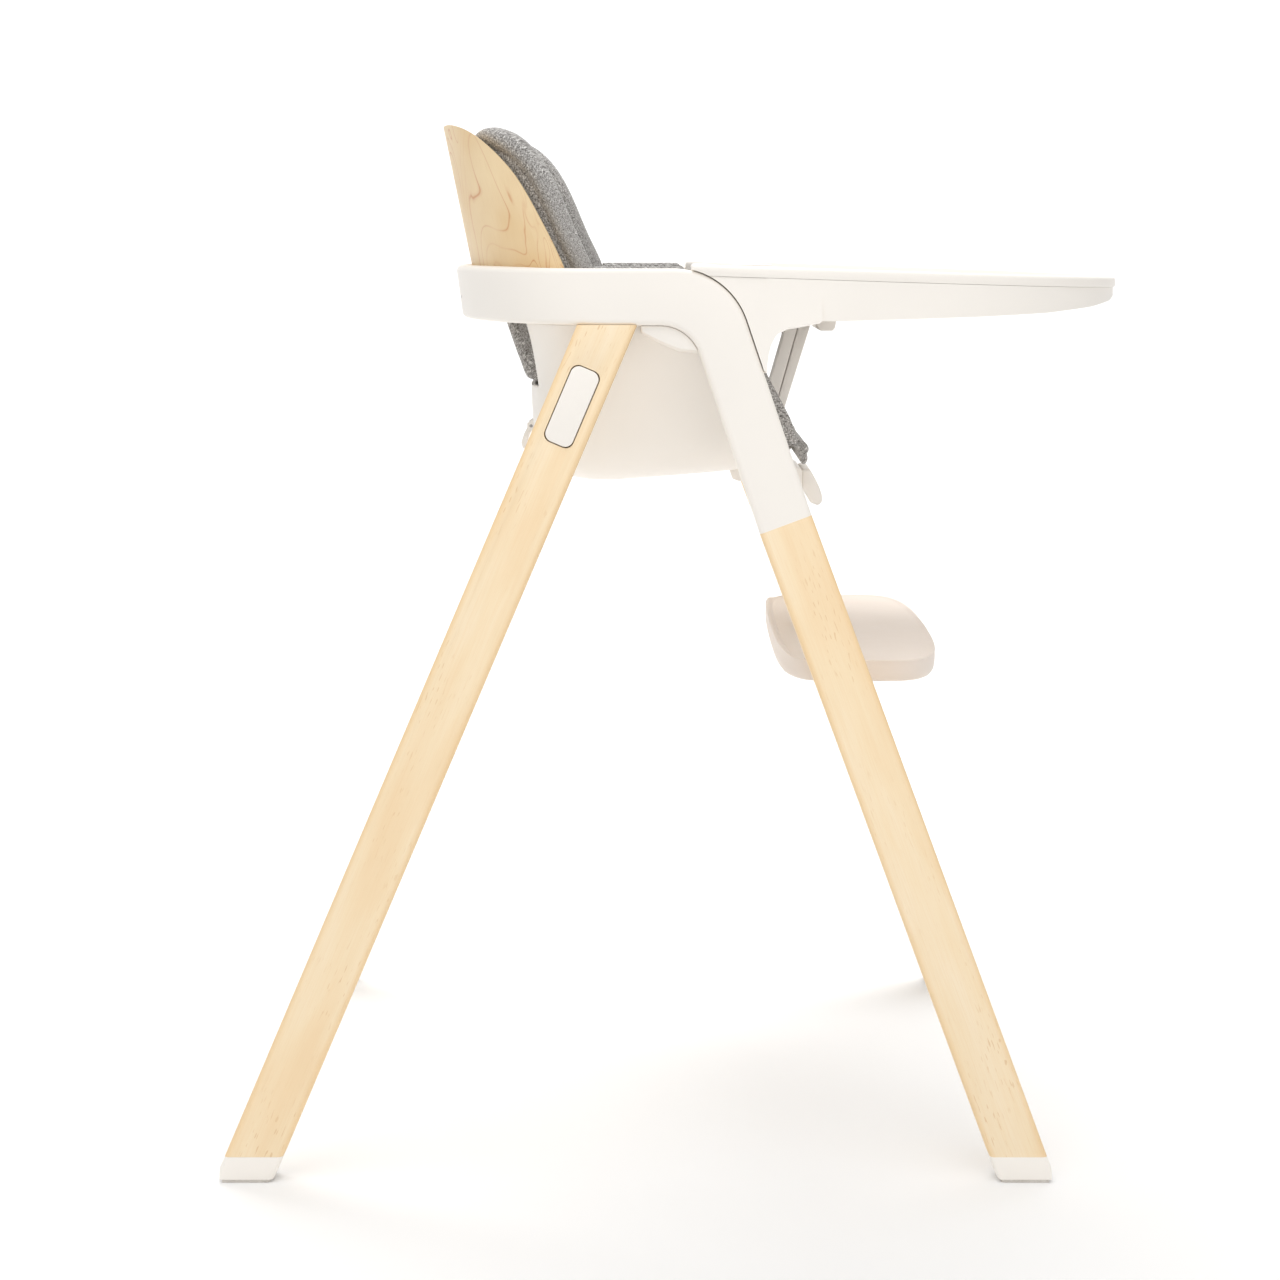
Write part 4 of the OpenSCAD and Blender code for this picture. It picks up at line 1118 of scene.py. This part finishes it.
def side_slab(name, rear_line, front_line, half_width, rows, columns, edge_round, flatten=0.35):
    """A padded slab between two side-view lines, in mm, with rims rounded towards its middle."""
    def along(line, share):
        line = np.array(line, float)
        steps = np.concatenate([[0], np.cumsum(np.linalg.norm(np.diff(line, axis=0), axis=1))])
        place = share * steps[-1]
        return np.array([np.interp(place, steps, line[:, 0]), np.interp(place, steps, line[:, 1])])
    back_grid, front_grid = [], []
    length = np.linalg.norm(np.diff(np.array(front_line, float), axis=0), axis=1).sum()
    for i in range(rows + 1):
        a, b = along(rear_line, i / rows), along(front_line, i / rows)
        back_row, front_row = [], []
        for j in range(columns + 1):
            y = half_width * math.sin(math.pi / 2 * (2 * j / columns - 1))
            gap = min(half_width - abs(y), i / rows * length, (1 - i / rows) * length)
            full = flatten + (1 - flatten) * rounding(gap, edge_round)
            middle, half = (a + b) / 2, (b - a) / 2
            low, high = middle - half * full, middle + half * full
            back_row.append(mm(low[0], y, low[1]))
            front_row.append(mm(high[0], y, high[1]))
        back_grid.append(back_row)
        front_grid.append(front_row)
    return closed_grid(name, back_grid, front_grid, PAD_DEPTH)


lower_pad = side_slab("back_pad_lower_cover",
                      [(-121, 612), (-124, 655), (-138.5, 659), (-155, 703), (-161, 722)],
                      [(-98, 612), (-106, 652), (-114, 672), (-128, 703), (-136, 722)],
                      90.0, 30, 40, 9.0)
inflate(lower_pad, [], 1.5, 0.0015)
subdivided(lower_pad)
finish_piece(lower_pad, grey_fabric, "root", "grey_fabric")
print("lower back pad", len(lower_pad.data.polygons), "faces")

# %% [markdown]
# The seat cushion lies in the tub and rolls over its front lip. A seam across the roll parts the
# top lobe from the lower one.
# %% Seat cushion
CUSHION_HALF, CUSHION_ROWS, CUSHION_COLUMNS = 119.0, 66, 52
SEAM_HEIGHT, SEAM_FRONT, SEAM_SINK = 595.0, 99, 0.0022
cushion_under = [(-90, 585.5), (-20, 590), (60, 593.5), (88, 600.9), (96.5, 600.9), (98.0, 598),
                 (98.0, 591), (98.4, 587)]
cushion_top = [(-90, 605), (-20, 608), (60, 610.5), (91, 611), (100, 609.5), (105.8, 604.5),
               (108, 598.5), (107.4, 592), (106, 585)]
cushion = side_slab("seat_cushion_cover", cushion_under, cushion_top, CUSHION_HALF, CUSHION_ROWS,
                    CUSHION_COLUMNS, 12.0, 0.5)
cushion_columns = CUSHION_COLUMNS + 1
cushion_sheet = (CUSHION_ROWS + 1) * cushion_columns


def seam_gap(row):
    """How far a row of the top sheet is from the seam's height; rows behind the roll are out."""
    middle = cushion_sheet + row * cushion_columns + cushion_columns // 2
    place = cushion.data.vertices[middle].co * 1000
    return abs(place.z - SEAM_HEIGHT) + (0 if place.x > SEAM_FRONT else 1000)


roll_seam = min(range(CUSHION_ROWS + 1), key=seam_gap)
seam_points = [cushion_sheet + roll_seam * cushion_columns + j for j in range(cushion_columns)]
for index in seam_points:
    cushion.data.vertices[index].co.x -= SEAM_SINK
inflate(cushion, list(range(cushion_sheet)) + seam_points, 2.0, 0.0025)
subdivided(cushion)
finish_piece(cushion, grey_fabric, "root", "grey_fabric", "seat_pad")
print("seat cushion", len(cushion.data.polygons), "faces")

# %% [markdown]
# Two side wings stand up from the cushion along the tub's walls and under the arms. Their upper
# edges stand a little above the arms.
# %% Side wings
WING_OUTER = [(139, 604), (148, 622), (160, 660), (173, 690), (182, 709.5), (187, 730),
              (187.5, 757)]
WING_FRONT = [(97, 604), (90.5, 626), (65.5, 672), (50, 704), (30, 712), (10, 722), (7, 743),
              (3, 748), (3, 752.5), (-6, 757)]
WING_THICK, WING_REAR, WING_ROUND = 12.0, -78.0, 8.0
WING_BOTTOM, WING_TOP = 604, 757


def wing_grids(side, rows=30, columns=34):
    outer, inner = [], []
    for i in range(rows + 1):
        z = WING_BOTTOM + (WING_TOP - WING_BOTTOM) * i / rows
        y_out = np.interp(z, [p[1] for p in WING_OUTER], [p[0] for p in WING_OUTER])
        x_front = np.interp(z, [p[1] for p in WING_FRONT], [p[0] for p in WING_FRONT])
        outer_row, inner_row = [], []
        for j in range(columns + 1):
            x = WING_REAR + (x_front - WING_REAR) * math.sin(math.pi / 2 * j / columns) ** 1.3
            gap = min(WING_TOP - z, x_front - x, x - WING_REAR + 3)
            full = 0.35 + 0.65 * rounding(gap, WING_ROUND)
            tuck = np.interp(x, [30, 90], [0.0, 9.0]) * np.interp(z, [600, 660], [1.0, 0.0])
            middle = y_out - WING_THICK / 2 - tuck
            outer_row.append(mm(x, side * (middle + WING_THICK / 2 * full), z))
            inner_row.append(mm(x, side * (middle - WING_THICK / 2 * full), z))
        outer.append(outer_row)
        inner.append(inner_row)
    return outer, inner


for side, label in SIDES:
    outer, inner = wing_grids(side)
    wing = closed_grid(f"side_wing_{label}_cover", outer, inner, PAD_DEPTH)
    inflate(wing, list(range(len(outer) * len(outer[0]))), 1.5, 0.0015)
    subdivided(wing)
    finish_piece(wing, grey_fabric, "root", "grey_fabric")
print("two wings")

# %% [markdown]
# # Harness
# The webbing lies on the pads. Each band is a thin closed grid whose rows are dropped on the
# swollen cloth: a ray is cast at the pads from just above, and the band is laid where it lands.
# %% Laying webbing on the pads
from mathutils.bvhtree import BVHTree

STRAP_THICK, STRAP_HALF, STRAP_COLUMNS, STRAP_GAP = 0.0016, 0.012, 4, 0.0004
UPWARDS, SIDEWAYS = Vector((0, 0, 1)), Vector((0, 1, 0))


def pad_surface():
    points, faces = [], []
    for piece in (back_pad, lower_pad, cushion):
        start = len(points)
        points += [v.co.copy() for v in piece.data.vertices]
        faces += [[start + i for i in polygon.vertices] for polygon in piece.data.polygons]
    return BVHTree.FromPolygons(points, faces)


pads = pad_surface()


def laid(place, upwards):
    """Where a point lands on the pads when it is pushed against them, lifted a little."""
    hit = pads.ray_cast(place + upwards * 0.035, -upwards, 0.08)[0]
    return (hit if hit is not None else place) + upwards * STRAP_GAP


def webbing_band(node, centres, across, upwards):
    """A band through the centres; across and upwards give its directions at each one. It returns
    the rows of the band's upper face."""
    lower, upper = [], []
    for centre, side_way, up in zip(centres, across, upwards):
        line = [centre + side_way * STRAP_HALF * (2 * j / STRAP_COLUMNS - 1)
                for j in range(STRAP_COLUMNS + 1)]
        lift = max((laid(p, up) - p).dot(up) for p in line)
        lower.append([p + up * lift for p in line])
        upper.append([p + up * (lift + STRAP_THICK) for p in line])
    band = closed_grid(node + "_webbing", lower, upper, STRAP_THICK)
    round_edges(band, 0.0005, 2, 50)
    finish_piece(band, webbing, "root", "webbing", node)
    return upper


def resampled(points, count):
    points = np.array([tuple(p) for p in points])
    steps = np.concatenate([[0], np.cumsum(np.linalg.norm(np.diff(points, axis=0), axis=1))])
    places = np.linspace(0, steps[-1], count)
    return [Vector([np.interp(s, steps, points[:, k]) for k in range(3)]) for s in places]


SHOULDER_LINE = [(-46, 613), (-70, 612), (-84, 613), (-93, 622), (-101.5, 650), (-113, 676),
                 (-125.5, 703), (-134, 732), (-146, 760), (-155, 800)]
strap_edges = []
for side, label in SIDES:
    line = smooth_edge(SHOULDER_LINE, 6)
    centres = resampled([mm(x, side * 45, z) for x, z in line], 60)
    tangents = [(b - a).normalized() for a, b in zip(centres, centres[1:])]
    tangents.append(tangents[-1])
    ups = [Vector((t.z, 0, -t.x)).normalized() for t in tangents]
    strap_edges.append(webbing_band(f"shoulder_strap_{label}", centres,
                                    [SIDEWAYS] * len(centres), ups))
    lap = resampled([mm(-50, side * 108, 612), mm(14, side * 26, 612)], 24)
    along = (lap[-1] - lap[0]).normalized()
    across = Vector((-along.y, along.x, 0))
    strap_edges.append(webbing_band(f"lap_strap_{label}", lap, [across] * len(lap),
                                    [UPWARDS] * len(lap)))
crotch = resampled([mm(40, 0, 613), mm(68, 0, 613)], 10)
webbing_band("crotch_strap", crotch, [SIDEWAYS] * len(crotch), [UPWARDS] * len(crotch))
print("five bands of webbing")

# %% Buckle and strap lock
moulded_copy("harness_buckle", "harness_buckle_body", 0.0024, harness_plastic, "root",
             "harness_plastic", 4)
moulded_copy("buckle_button", "buckle_button_cap", 0.0012, button_plastic, "buckle_button",
             "harness_button", 3)
moulded_copy("strap_lock_base", "strap_lock_base_moulding", 0.0006, white_plastic, "root",
             "white_plastic", 2)
moulded_copy("strap_lock_lever", "strap_lock_lever_moulding", 0.0008, white_plastic,
             "strap_lock_lever", "white_plastic", 2)

# %% [markdown]
# # Tray
# The tray's base carries the rails and wraps down in front of each arm. The top lifts off. Both
# keep the design's shape and get the rounded edges of a moulding, so that a soft light line runs
# round the rim and a fine shadow gap shows between the two.
# %% Tray
def round_rim(piece, middle, radius, segments):
    """Round the edge between a part's top and its outer wall, all the way round."""
    shape = bmesh.new()
    shape.from_mesh(piece.data)
    rim = []
    for edge in shape.edges:
        if len(edge.link_faces) != 2:
            continue
        upper, wall = sorted(edge.link_faces, key=lambda f: -f.normal.z)
        at = (edge.verts[0].co + edge.verts[1].co) / 2
        outward = wall.normal.dot(at - middle) > 0
        if upper.normal.z > 0.9 and abs(wall.normal.z) < 0.3 and outward:
            rim.append(edge)
    bmesh.ops.bevel(shape, geom=rim, offset=radius, segments=segments, profile=0.5,
                    affect="EDGES")
    shape.to_mesh(piece.data)
    shape.free()
    print(piece.name, "rim of", len(rim), "edges")


moulded_copy("tray_base", "tray_base_moulding", 0.0026, white_plastic, "tray", "white_plastic", 4)
TRAY_MIDDLE, RIM_ROUND = Vector((0.16, 0.0, 0.75)), 0.0036
insert = design_copy("tray_insert", "tray_insert_moulding")
round_rim(insert, TRAY_MIDDLE, RIM_ROUND, 5)
round_edges(insert, 0.0012, 2, 35)
finish_piece(insert, white_plastic, "tray_insert", "white_plastic", "tray_insert")
print("tray insert", len(insert.data.polygons), "faces")
moulded_copy("tray_lever", "tray_lever_moulding", 0.0018, white_plastic, "tray_lever",
             "white_plastic", 3)

# %% [markdown]
# The post that keeps the child from sliding out is moulded in two halves. The parting line runs
# down its sides, so each half is drawn from the side and given its own rounded edges.
# %% Crotch post
def side_prism(name, outline_points, half_width, radius, segments=3):
    piece = swept(name, [[mm(x, y, z) for x, z in outline_points]
                         for y in (-half_width, half_width)])
    round_edges(piece, radius, segments, 30)
    return piece


post_rear = side_prism("crotch_post_rear_half", [
    (93, 712.8), (105.1, 712.8), (101.3, 697), (80.8, 622.2), (79.6, 618.6), (74, 618.5),
    (70.5, 622), (70.5, 627), (89, 692.9)], 16.4, 0.0014)
post_front = side_prism("crotch_post_front_half", [
    (105.6, 712.8), (115, 712.8), (112.9, 699.7), (90.5, 626.7), (87, 620.5), (82, 618.5),
    (80.1, 618.6), (81.3, 622.2), (101.8, 697)], 17.0, 0.0014)
post_flange = side_prism("crotch_post_flange", [
    (80, 710.2), (114, 710.2), (114, 712.8), (80, 712.8)], 28.0, 0.0006, 2)
finish_piece(post_rear, white_plastic, "tray", "white_plastic", "crotch_post")
finish_piece(post_front, white_plastic, "tray", "white_plastic")
finish_piece(post_flange, white_plastic, "tray", "white_plastic")
print("crotch post in two halves")

# %% [markdown]
# # Footrest
# The plate is a thick rounded board with a low wall along its rear edge. Its outline is a squarish
# oval whose long sides bow, and its levels draw in towards the underside like a pebble.
# %% Footrest plate
PLATE_TOP, PLATE_HALF = 427.0, 200.0
PLATE_REAR, PLATE_MIDDLE, PLATE_FRONT, SQUARENESS = 79, 150, 223.5, 6
REAR_BOW, FRONT_BOW, WALL_HEIGHT, INNER_DROP = 3, -9, 3.0, 0.9


def plate_outline(inset, count=180):
    points = []
    for x, y in outline(PLATE_REAR + inset, PLATE_MIDDLE, PLATE_FRONT - inset,
                        PLATE_HALF - inset, SQUARENESS, SQUARENESS, count):
        bow = (y / PLATE_HALF) ** 2 * (REAR_BOW if x < PLATE_MIDDLE else FRONT_BOW)
        points.append((x + bow, y))
    return points


def plate_level(inset, z):
    return [mm(x, y, z + wall_rise(x, y)) if z > PLATE_TOP - 6 else mm(x, y, z)
            for x, y in plate_outline(inset)]


def wall_rise(x, y):
    """The rear edge stands up: how far a point near it is raised."""
    behind = PLATE_REAR + 1 + REAR_BOW * (y / PLATE_HALF) ** 2
    near = max(0.0, 1 - max(0.0, x - behind) / 9.0)
    corner = max(0.0, 1 - (abs(y) / (PLATE_HALF - 2)) ** 10)
    return WALL_HEIGHT * min(1.0, near * 1.6) * corner


under = [(8, -19.5), (5, -19.2), (2.6, -18.0), (1.2, -15.8), (0.5, -12.0), (0.2, -7.0)]
rim = [(0.5, -2.2), (0.2, -1.2), (0.6, -0.4), (1.6, 0.0), (3.0, -0.1), (4.2, -0.7)]
levels = [plate_level(inset, PLATE_TOP + drop) for inset, drop in under + rim]
levels += [[mm(x, y, PLATE_TOP - INNER_DROP) for x, y in plate_outline(inset)]
           for inset in (7, 9, 12, 20)]
plate = swept("footrest_board", levels)
plate.data.shade_smooth()
finish_piece(plate, footrest_plastic, "footrest", "footrest_plastic", "footrest_plate")
print("footrest plate", len(plate.data.polygons), "faces")

# %% Footrest holder, stem and button
moulded_copy("footrest_housing", "footrest_housing_moulding", 0.0022, white_plastic, "root",
             "white_plastic", 4, 20)
moulded_copy("housing_cover", "housing_cover_moulding", 0.0022, white_plastic, "root",
             "white_plastic", 4, 40)
moulded_copy("footrest_stem", "footrest_stem_moulding", 0.0008, white_plastic, "root",
             "white_plastic", 2, 50)
moulded_copy("footrest_button", "footrest_button_cap", 0.001, white_plastic, "footrest_button",
             "white_plastic", 3, 50)

# %% [markdown]
# # Hardware by Geometry Nodes
# What repeats is placed by node trees. A screw tree sets one round head with a hexagon socket on
# every point, turned to that point's own direction. The points are measured on the design's
# screws: each one is an island of the mesh, and its wide end is its head.
# %% Node tree helpers
def node_tree(name, sizes):
    """An empty geometry tree with a Geometry socket each way and named sizes as inputs."""
    tree = bpy.data.node_groups.new(name, "GeometryNodeTree")
    tree.interface.new_socket("Geometry", in_out="INPUT", socket_type="NodeSocketGeometry")
    for label, kind, default in sizes:
        socket = tree.interface.new_socket(label, in_out="INPUT", socket_type="NodeSocket" + kind)
        socket.default_value = default
    tree.interface.new_socket("Geometry", in_out="OUTPUT", socket_type="NodeSocketGeometry")
    return tree, tree.nodes.new("NodeGroupInput"), tree.nodes.new("NodeGroupOutput")


def tree_node(tree, kind, links=None, settings=None, **inputs):
    node = tree.nodes.new(kind)
    for key, value in (settings or {}).items():
        setattr(node, key, value)
    for key, value in inputs.items():
        node.inputs[key.replace("_", " ")].default_value = value
    for key, socket in (links or {}).items():
        tree.links.new(socket, node.inputs[key])
    return node


def end_tree(tree, geometry, result, material):
    """Every tree ends the same way: real geometry, then its material."""
    real = tree_node(tree, "GeometryNodeRealizeInstances", {"Geometry": geometry})
    painted = tree_node(tree, "GeometryNodeSetMaterial", {"Geometry": real.outputs["Geometry"]})
    painted.inputs["Material"].default_value = material
    tree.links.new(painted.outputs["Geometry"], result.inputs["Geometry"])


def shifted(tree, geometry, distance, factor):
    """Geometry moved along Z by a size times a factor."""
    rise = tree_node(tree, "ShaderNodeMath", {0: distance}, {"operation": "MULTIPLY"})
    rise.inputs[1].default_value = factor
    place = tree_node(tree, "ShaderNodeCombineXYZ", {"Z": rise.outputs[0]})
    moved = tree_node(tree, "GeometryNodeTransform", {
        "Geometry": geometry, "Translation": place.outputs[0]})
    return moved.outputs["Geometry"]


def set_on_points(tree, points, aim, instance):
    """The instance on every point, with its Z axis turned to the point's aim."""
    turn = tree_node(tree, "FunctionNodeAlignRotationToVector", {"Vector": aim}, {"axis": "Z"})
    placed = tree_node(tree, "GeometryNodeInstanceOnPoints", {
        "Points": points, "Instance": instance, "Rotation": turn.outputs["Rotation"]})
    return placed.outputs["Instances"]


def grown(name, source, tree, values):
    """Runs a tree on a source mesh and returns the result as one plain object."""
    carrier = linked(name, source)
    modifier = carrier.modifiers.new("nodes", "NODES")
    modifier.node_group = tree
    for item in tree.interface.items_tree:
        if item.item_type == "SOCKET" and item.in_out == "INPUT" and item.name in values:
            modifier[item.identifier] = values[item.name]
    settle(carrier)
    return carrier


print("tree helpers ready")

# %% Screws
def screw_tree():
    tree, given, result = node_tree("screw_heads", [
        ("Head Radius", "Float", 0.004), ("Head Height", "Float", 0.0025),
        ("Shaft Radius", "Float", 0.002), ("Shaft Length", "Float", 0.012)])
    head = tree_node(tree, "GeometryNodeMeshCylinder", {
        "Radius": given.outputs["Head Radius"], "Depth": given.outputs["Head Height"]},
        Vertices=28)
    socket = tree_node(tree, "GeometryNodeMeshCylinder", Vertices=6, Radius=0.0017, Depth=0.003)
    height = given.outputs["Head Height"]
    cut = tree_node(tree, "GeometryNodeMeshBoolean", {
        "Mesh 1": shifted(tree, head.outputs["Mesh"], height, -0.5),
        "Mesh 2": shifted(tree, socket.outputs["Mesh"], height, -1.0)},
        {"operation": "DIFFERENCE"})
    shaft = tree_node(tree, "GeometryNodeMeshCylinder", {
        "Radius": given.outputs["Shaft Radius"], "Depth": given.outputs["Shaft Length"]},
        Vertices=16)
    screw = tree_node(tree, "GeometryNodeJoinGeometry")
    tree.links.new(shifted(tree, shaft.outputs["Mesh"], given.outputs["Shaft Length"], 0.5),
                   screw.inputs["Geometry"])
    tree.links.new(cut.outputs["Mesh"], screw.inputs["Geometry"])
    aim = tree_node(tree, "GeometryNodeInputNamedAttribute", settings={"data_type": "FLOAT_VECTOR"},
                    Name="aim")
    placed = set_on_points(tree, given.outputs["Geometry"], aim.outputs["Attribute"],
                           screw.outputs["Geometry"])
    end_tree(tree, placed, result, steel)
    return tree


def islands(node):
    """The separate solids of a design part, each as an array of its points."""
    shape = bmesh.new()
    shape.from_mesh(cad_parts[node].data)
    bmesh.ops.remove_doubles(shape, verts=shape.verts, dist=DESIGN_MERGE)
    left, groups = set(shape.verts), []
    while left:
        stack, group = [left.pop()], []
        while stack:
            vertex = stack.pop()
            group.append(tuple(vertex.co))
            for edge in vertex.link_edges:
                other = edge.other_vert(vertex)
                if other in left:
                    left.remove(other)
                    stack.append(other)
        groups.append(np.array(group))
    shape.free()
    return sorted(groups, key=lambda g: tuple(g.mean(axis=0).round(4)))


END = 1e-4


def screw_measure(points):
    """Seat of the head, direction of the shaft, and the screw's four sizes."""
    middle = (points.max(axis=0) + points.min(axis=0)) / 2
    axis = np.linalg.svd(points - points.mean(axis=0), full_matrices=False)[2][0]
    along = (points - middle) @ axis
    across = np.linalg.norm((points - middle) - np.outer(along, axis), axis=1)
    if across[along > along.max() - END].max() > across[along < along.min() + END].max():
        axis, along = -axis, -along
    head_radius = across.max()
    wide = along[across > head_radius * 0.9]
    seat = wide.max()
    narrow = across[along > along.max() - END].max()
    return middle + axis * seat, axis, head_radius, seat - along.min(), narrow, along.max() - seat


screws = screw_tree()
for node, body in (("spigot_screws", "root"), ("shell_screws", "root"), ("panel_screws", "root"),
                   ("housing_screws", "root"), ("post_screws", "tray")):
    found = [screw_measure(points) for points in islands(node)]
    source = bpy.data.meshes.new(node + "_points")
    source.from_pydata([tuple(f[0]) for f in found], [], [])
    aims = source.attributes.new("aim", "FLOAT_VECTOR", "POINT")
    aims.data.foreach_set("vector", np.array([f[1] for f in found], np.float32).ravel())
    _, _, head_radius, head_height, shaft_radius, shaft_length = found[0]
    piece = grown(node + "_steel", source, screws, {
        "Head Radius": float(head_radius), "Head Height": float(head_height),
        "Shaft Radius": float(shaft_radius), "Shaft Length": float(shaft_length)})
    smooth_faces(piece.data, 40)
    finish_piece(piece, steel, body, "steel", node)
    print(piece.name, len(found), "screws")

# %% [markdown]
# Four springs push the buttons and the lever back. A helix is a rule, so one tree winds them all
# from radius, wire, length and turns.
# %% Springs
def spring_tree():
    tree, given, result = node_tree("coil_spring", [
        ("Radius", "Float", 0.005), ("Wire", "Float", 0.0006), ("Length", "Float", 0.01),
        ("Turns", "Float", 4.0)])
    helix = tree_node(tree, "GeometryNodeCurveSpiral", {
        "Rotations": given.outputs["Turns"], "Start Radius": given.outputs["Radius"],
        "End Radius": given.outputs["Radius"], "Height": given.outputs["Length"]}, Resolution=24)
    wire = tree_node(tree, "GeometryNodeCurvePrimitiveCircle", {"Radius": given.outputs["Wire"]},
                     Resolution=8)
    tube = tree_node(tree, "GeometryNodeCurveToMesh", {
        "Curve": helix.outputs["Curve"], "Profile Curve": wire.outputs["Curve"]}, Fill_Caps=True)
    end_tree(tree, tube.outputs["Mesh"], result, steel)
    return tree


springs = spring_tree()
WIRE, ENDS = 0.0006, 0.0013
button_across = {side: (on_side(side, 0, 1, 0) - on_side(side, 0, 0, 0)).normalized()
                 for side in (LEFT, RIGHT)}
spring_list = [("leg_button_spring_left", "root", button_across[LEFT], 6.0, 4.0),
               ("leg_button_spring_right", "root", button_across[RIGHT], 6.0, 4.0),
               ("tray_lever_spring", "tray", Vector((1, 0, 0)), 4.0, 6.0),
               ("footrest_button_spring", "footrest", Vector((0, 0, 1)), 4.0, 3.0)]
for node, body, axis, radius, turns in spring_list:
    points = np.array([tuple(v.co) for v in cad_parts[node].data.vertices])
    along = points @ np.array(axis)
    length = float(along.max() - along.min())
    middle = Vector((points.max(axis=0) + points.min(axis=0)) / 2)
    piece = grown(node + "_wire", bpy.data.meshes.new(node + "_seed"), springs, {
        "Radius": radius / 1000, "Wire": WIRE, "Length": length - ENDS, "Turns": turns - 1})
    turn = axis.to_track_quat("Z", "Y").to_matrix().to_4x4()
    shift = Matrix.Translation(middle - axis * (length / 2 - ENDS / 2))
    piece.data.transform(shift @ turn)
    smooth_faces(piece.data, 50)
    finish_piece(piece, steel, body, "steel", node)
    print(piece.name, round(length * 1000, 1), "mm long")

# %% [markdown]
# Stitches follow a seam. The tree turns a line of points into a curve, walks along it at an even
# pitch and lays a short round stitch at every step.
# %% Stitches
def stitch_tree(material):
    tree, given, result = node_tree("stitch_row_" + material.name, [
        ("Pitch", "Float", 0.0042), ("Stitch", "Float", 0.0028), ("Thread", "Float", 0.0004)])
    curve = tree_node(tree, "GeometryNodeMeshToCurve", {"Mesh": given.outputs["Geometry"]})
    even = tree_node(tree, "GeometryNodeCurveToPoints", {
        "Curve": curve.outputs["Curve"], "Length": given.outputs["Pitch"]}, {"mode": "LENGTH"})
    body = tree_node(tree, "GeometryNodeMeshCylinder", {
        "Radius": given.outputs["Thread"], "Depth": given.outputs["Stitch"]}, Vertices=8)
    placed = set_on_points(tree, even.outputs["Points"], even.outputs["Tangent"],
                           body.outputs["Mesh"])
    end_tree(tree, placed, result, material)
    return tree


def line_mesh(name, lines):
    """One mesh of separate open lines."""
    points, edges = [], []
    for line in lines:
        start = len(points)
        points += [tuple(p) for p in line]
        edges += [(start + i, start + i + 1) for i in range(len(line) - 1)]
    mesh = bpy.data.meshes.new(name)
    mesh.from_pydata(points, edges, [])
    return mesh


STITCH_SHARES = (0.16, 0.84)
strap_stitches = stitch_tree(strap_thread)
strap_lines = []
for upper in strap_edges:
    for share in STITCH_SHARES:
        strap_lines.append([row[0].lerp(row[-1], share) for row in upper])
stitches = grown("strap_stitches", line_mesh("strap_lines", strap_lines), strap_stitches,
                 {"Pitch": 0.0036, "Stitch": 0.0024, "Thread": 0.00035})
smooth_faces(stitches.data, 40)
finish_piece(stitches, strap_thread, "root", "webbing")
print(len(stitches.data.polygons), "faces of strap stitches")

# %% [markdown]
# # What stays as designed
# The hidden spigots, latches, pins and rail channels already have their true shape, so they stay
# and only receive their finish.
# %% Materials on the design's own parts
STEEL_PARTS = ["rear_spigot_left", "rear_spigot_right", "front_spigot_left", "front_spigot_right",
               "strap_lock_pin", "tray_latch_left", "tray_latch_right"]
PLASTIC_PARTS = ["rail_guide_left", "rail_guide_right"]
for names, material in ((STEEL_PARTS, steel), (PLASTIC_PARTS, white_plastic)):
    for name in names:
        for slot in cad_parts[name].material_slots:
            slot.material = material
print(len(STEEL_PARTS) + len(PLASTIC_PARTS), "design parts finished")
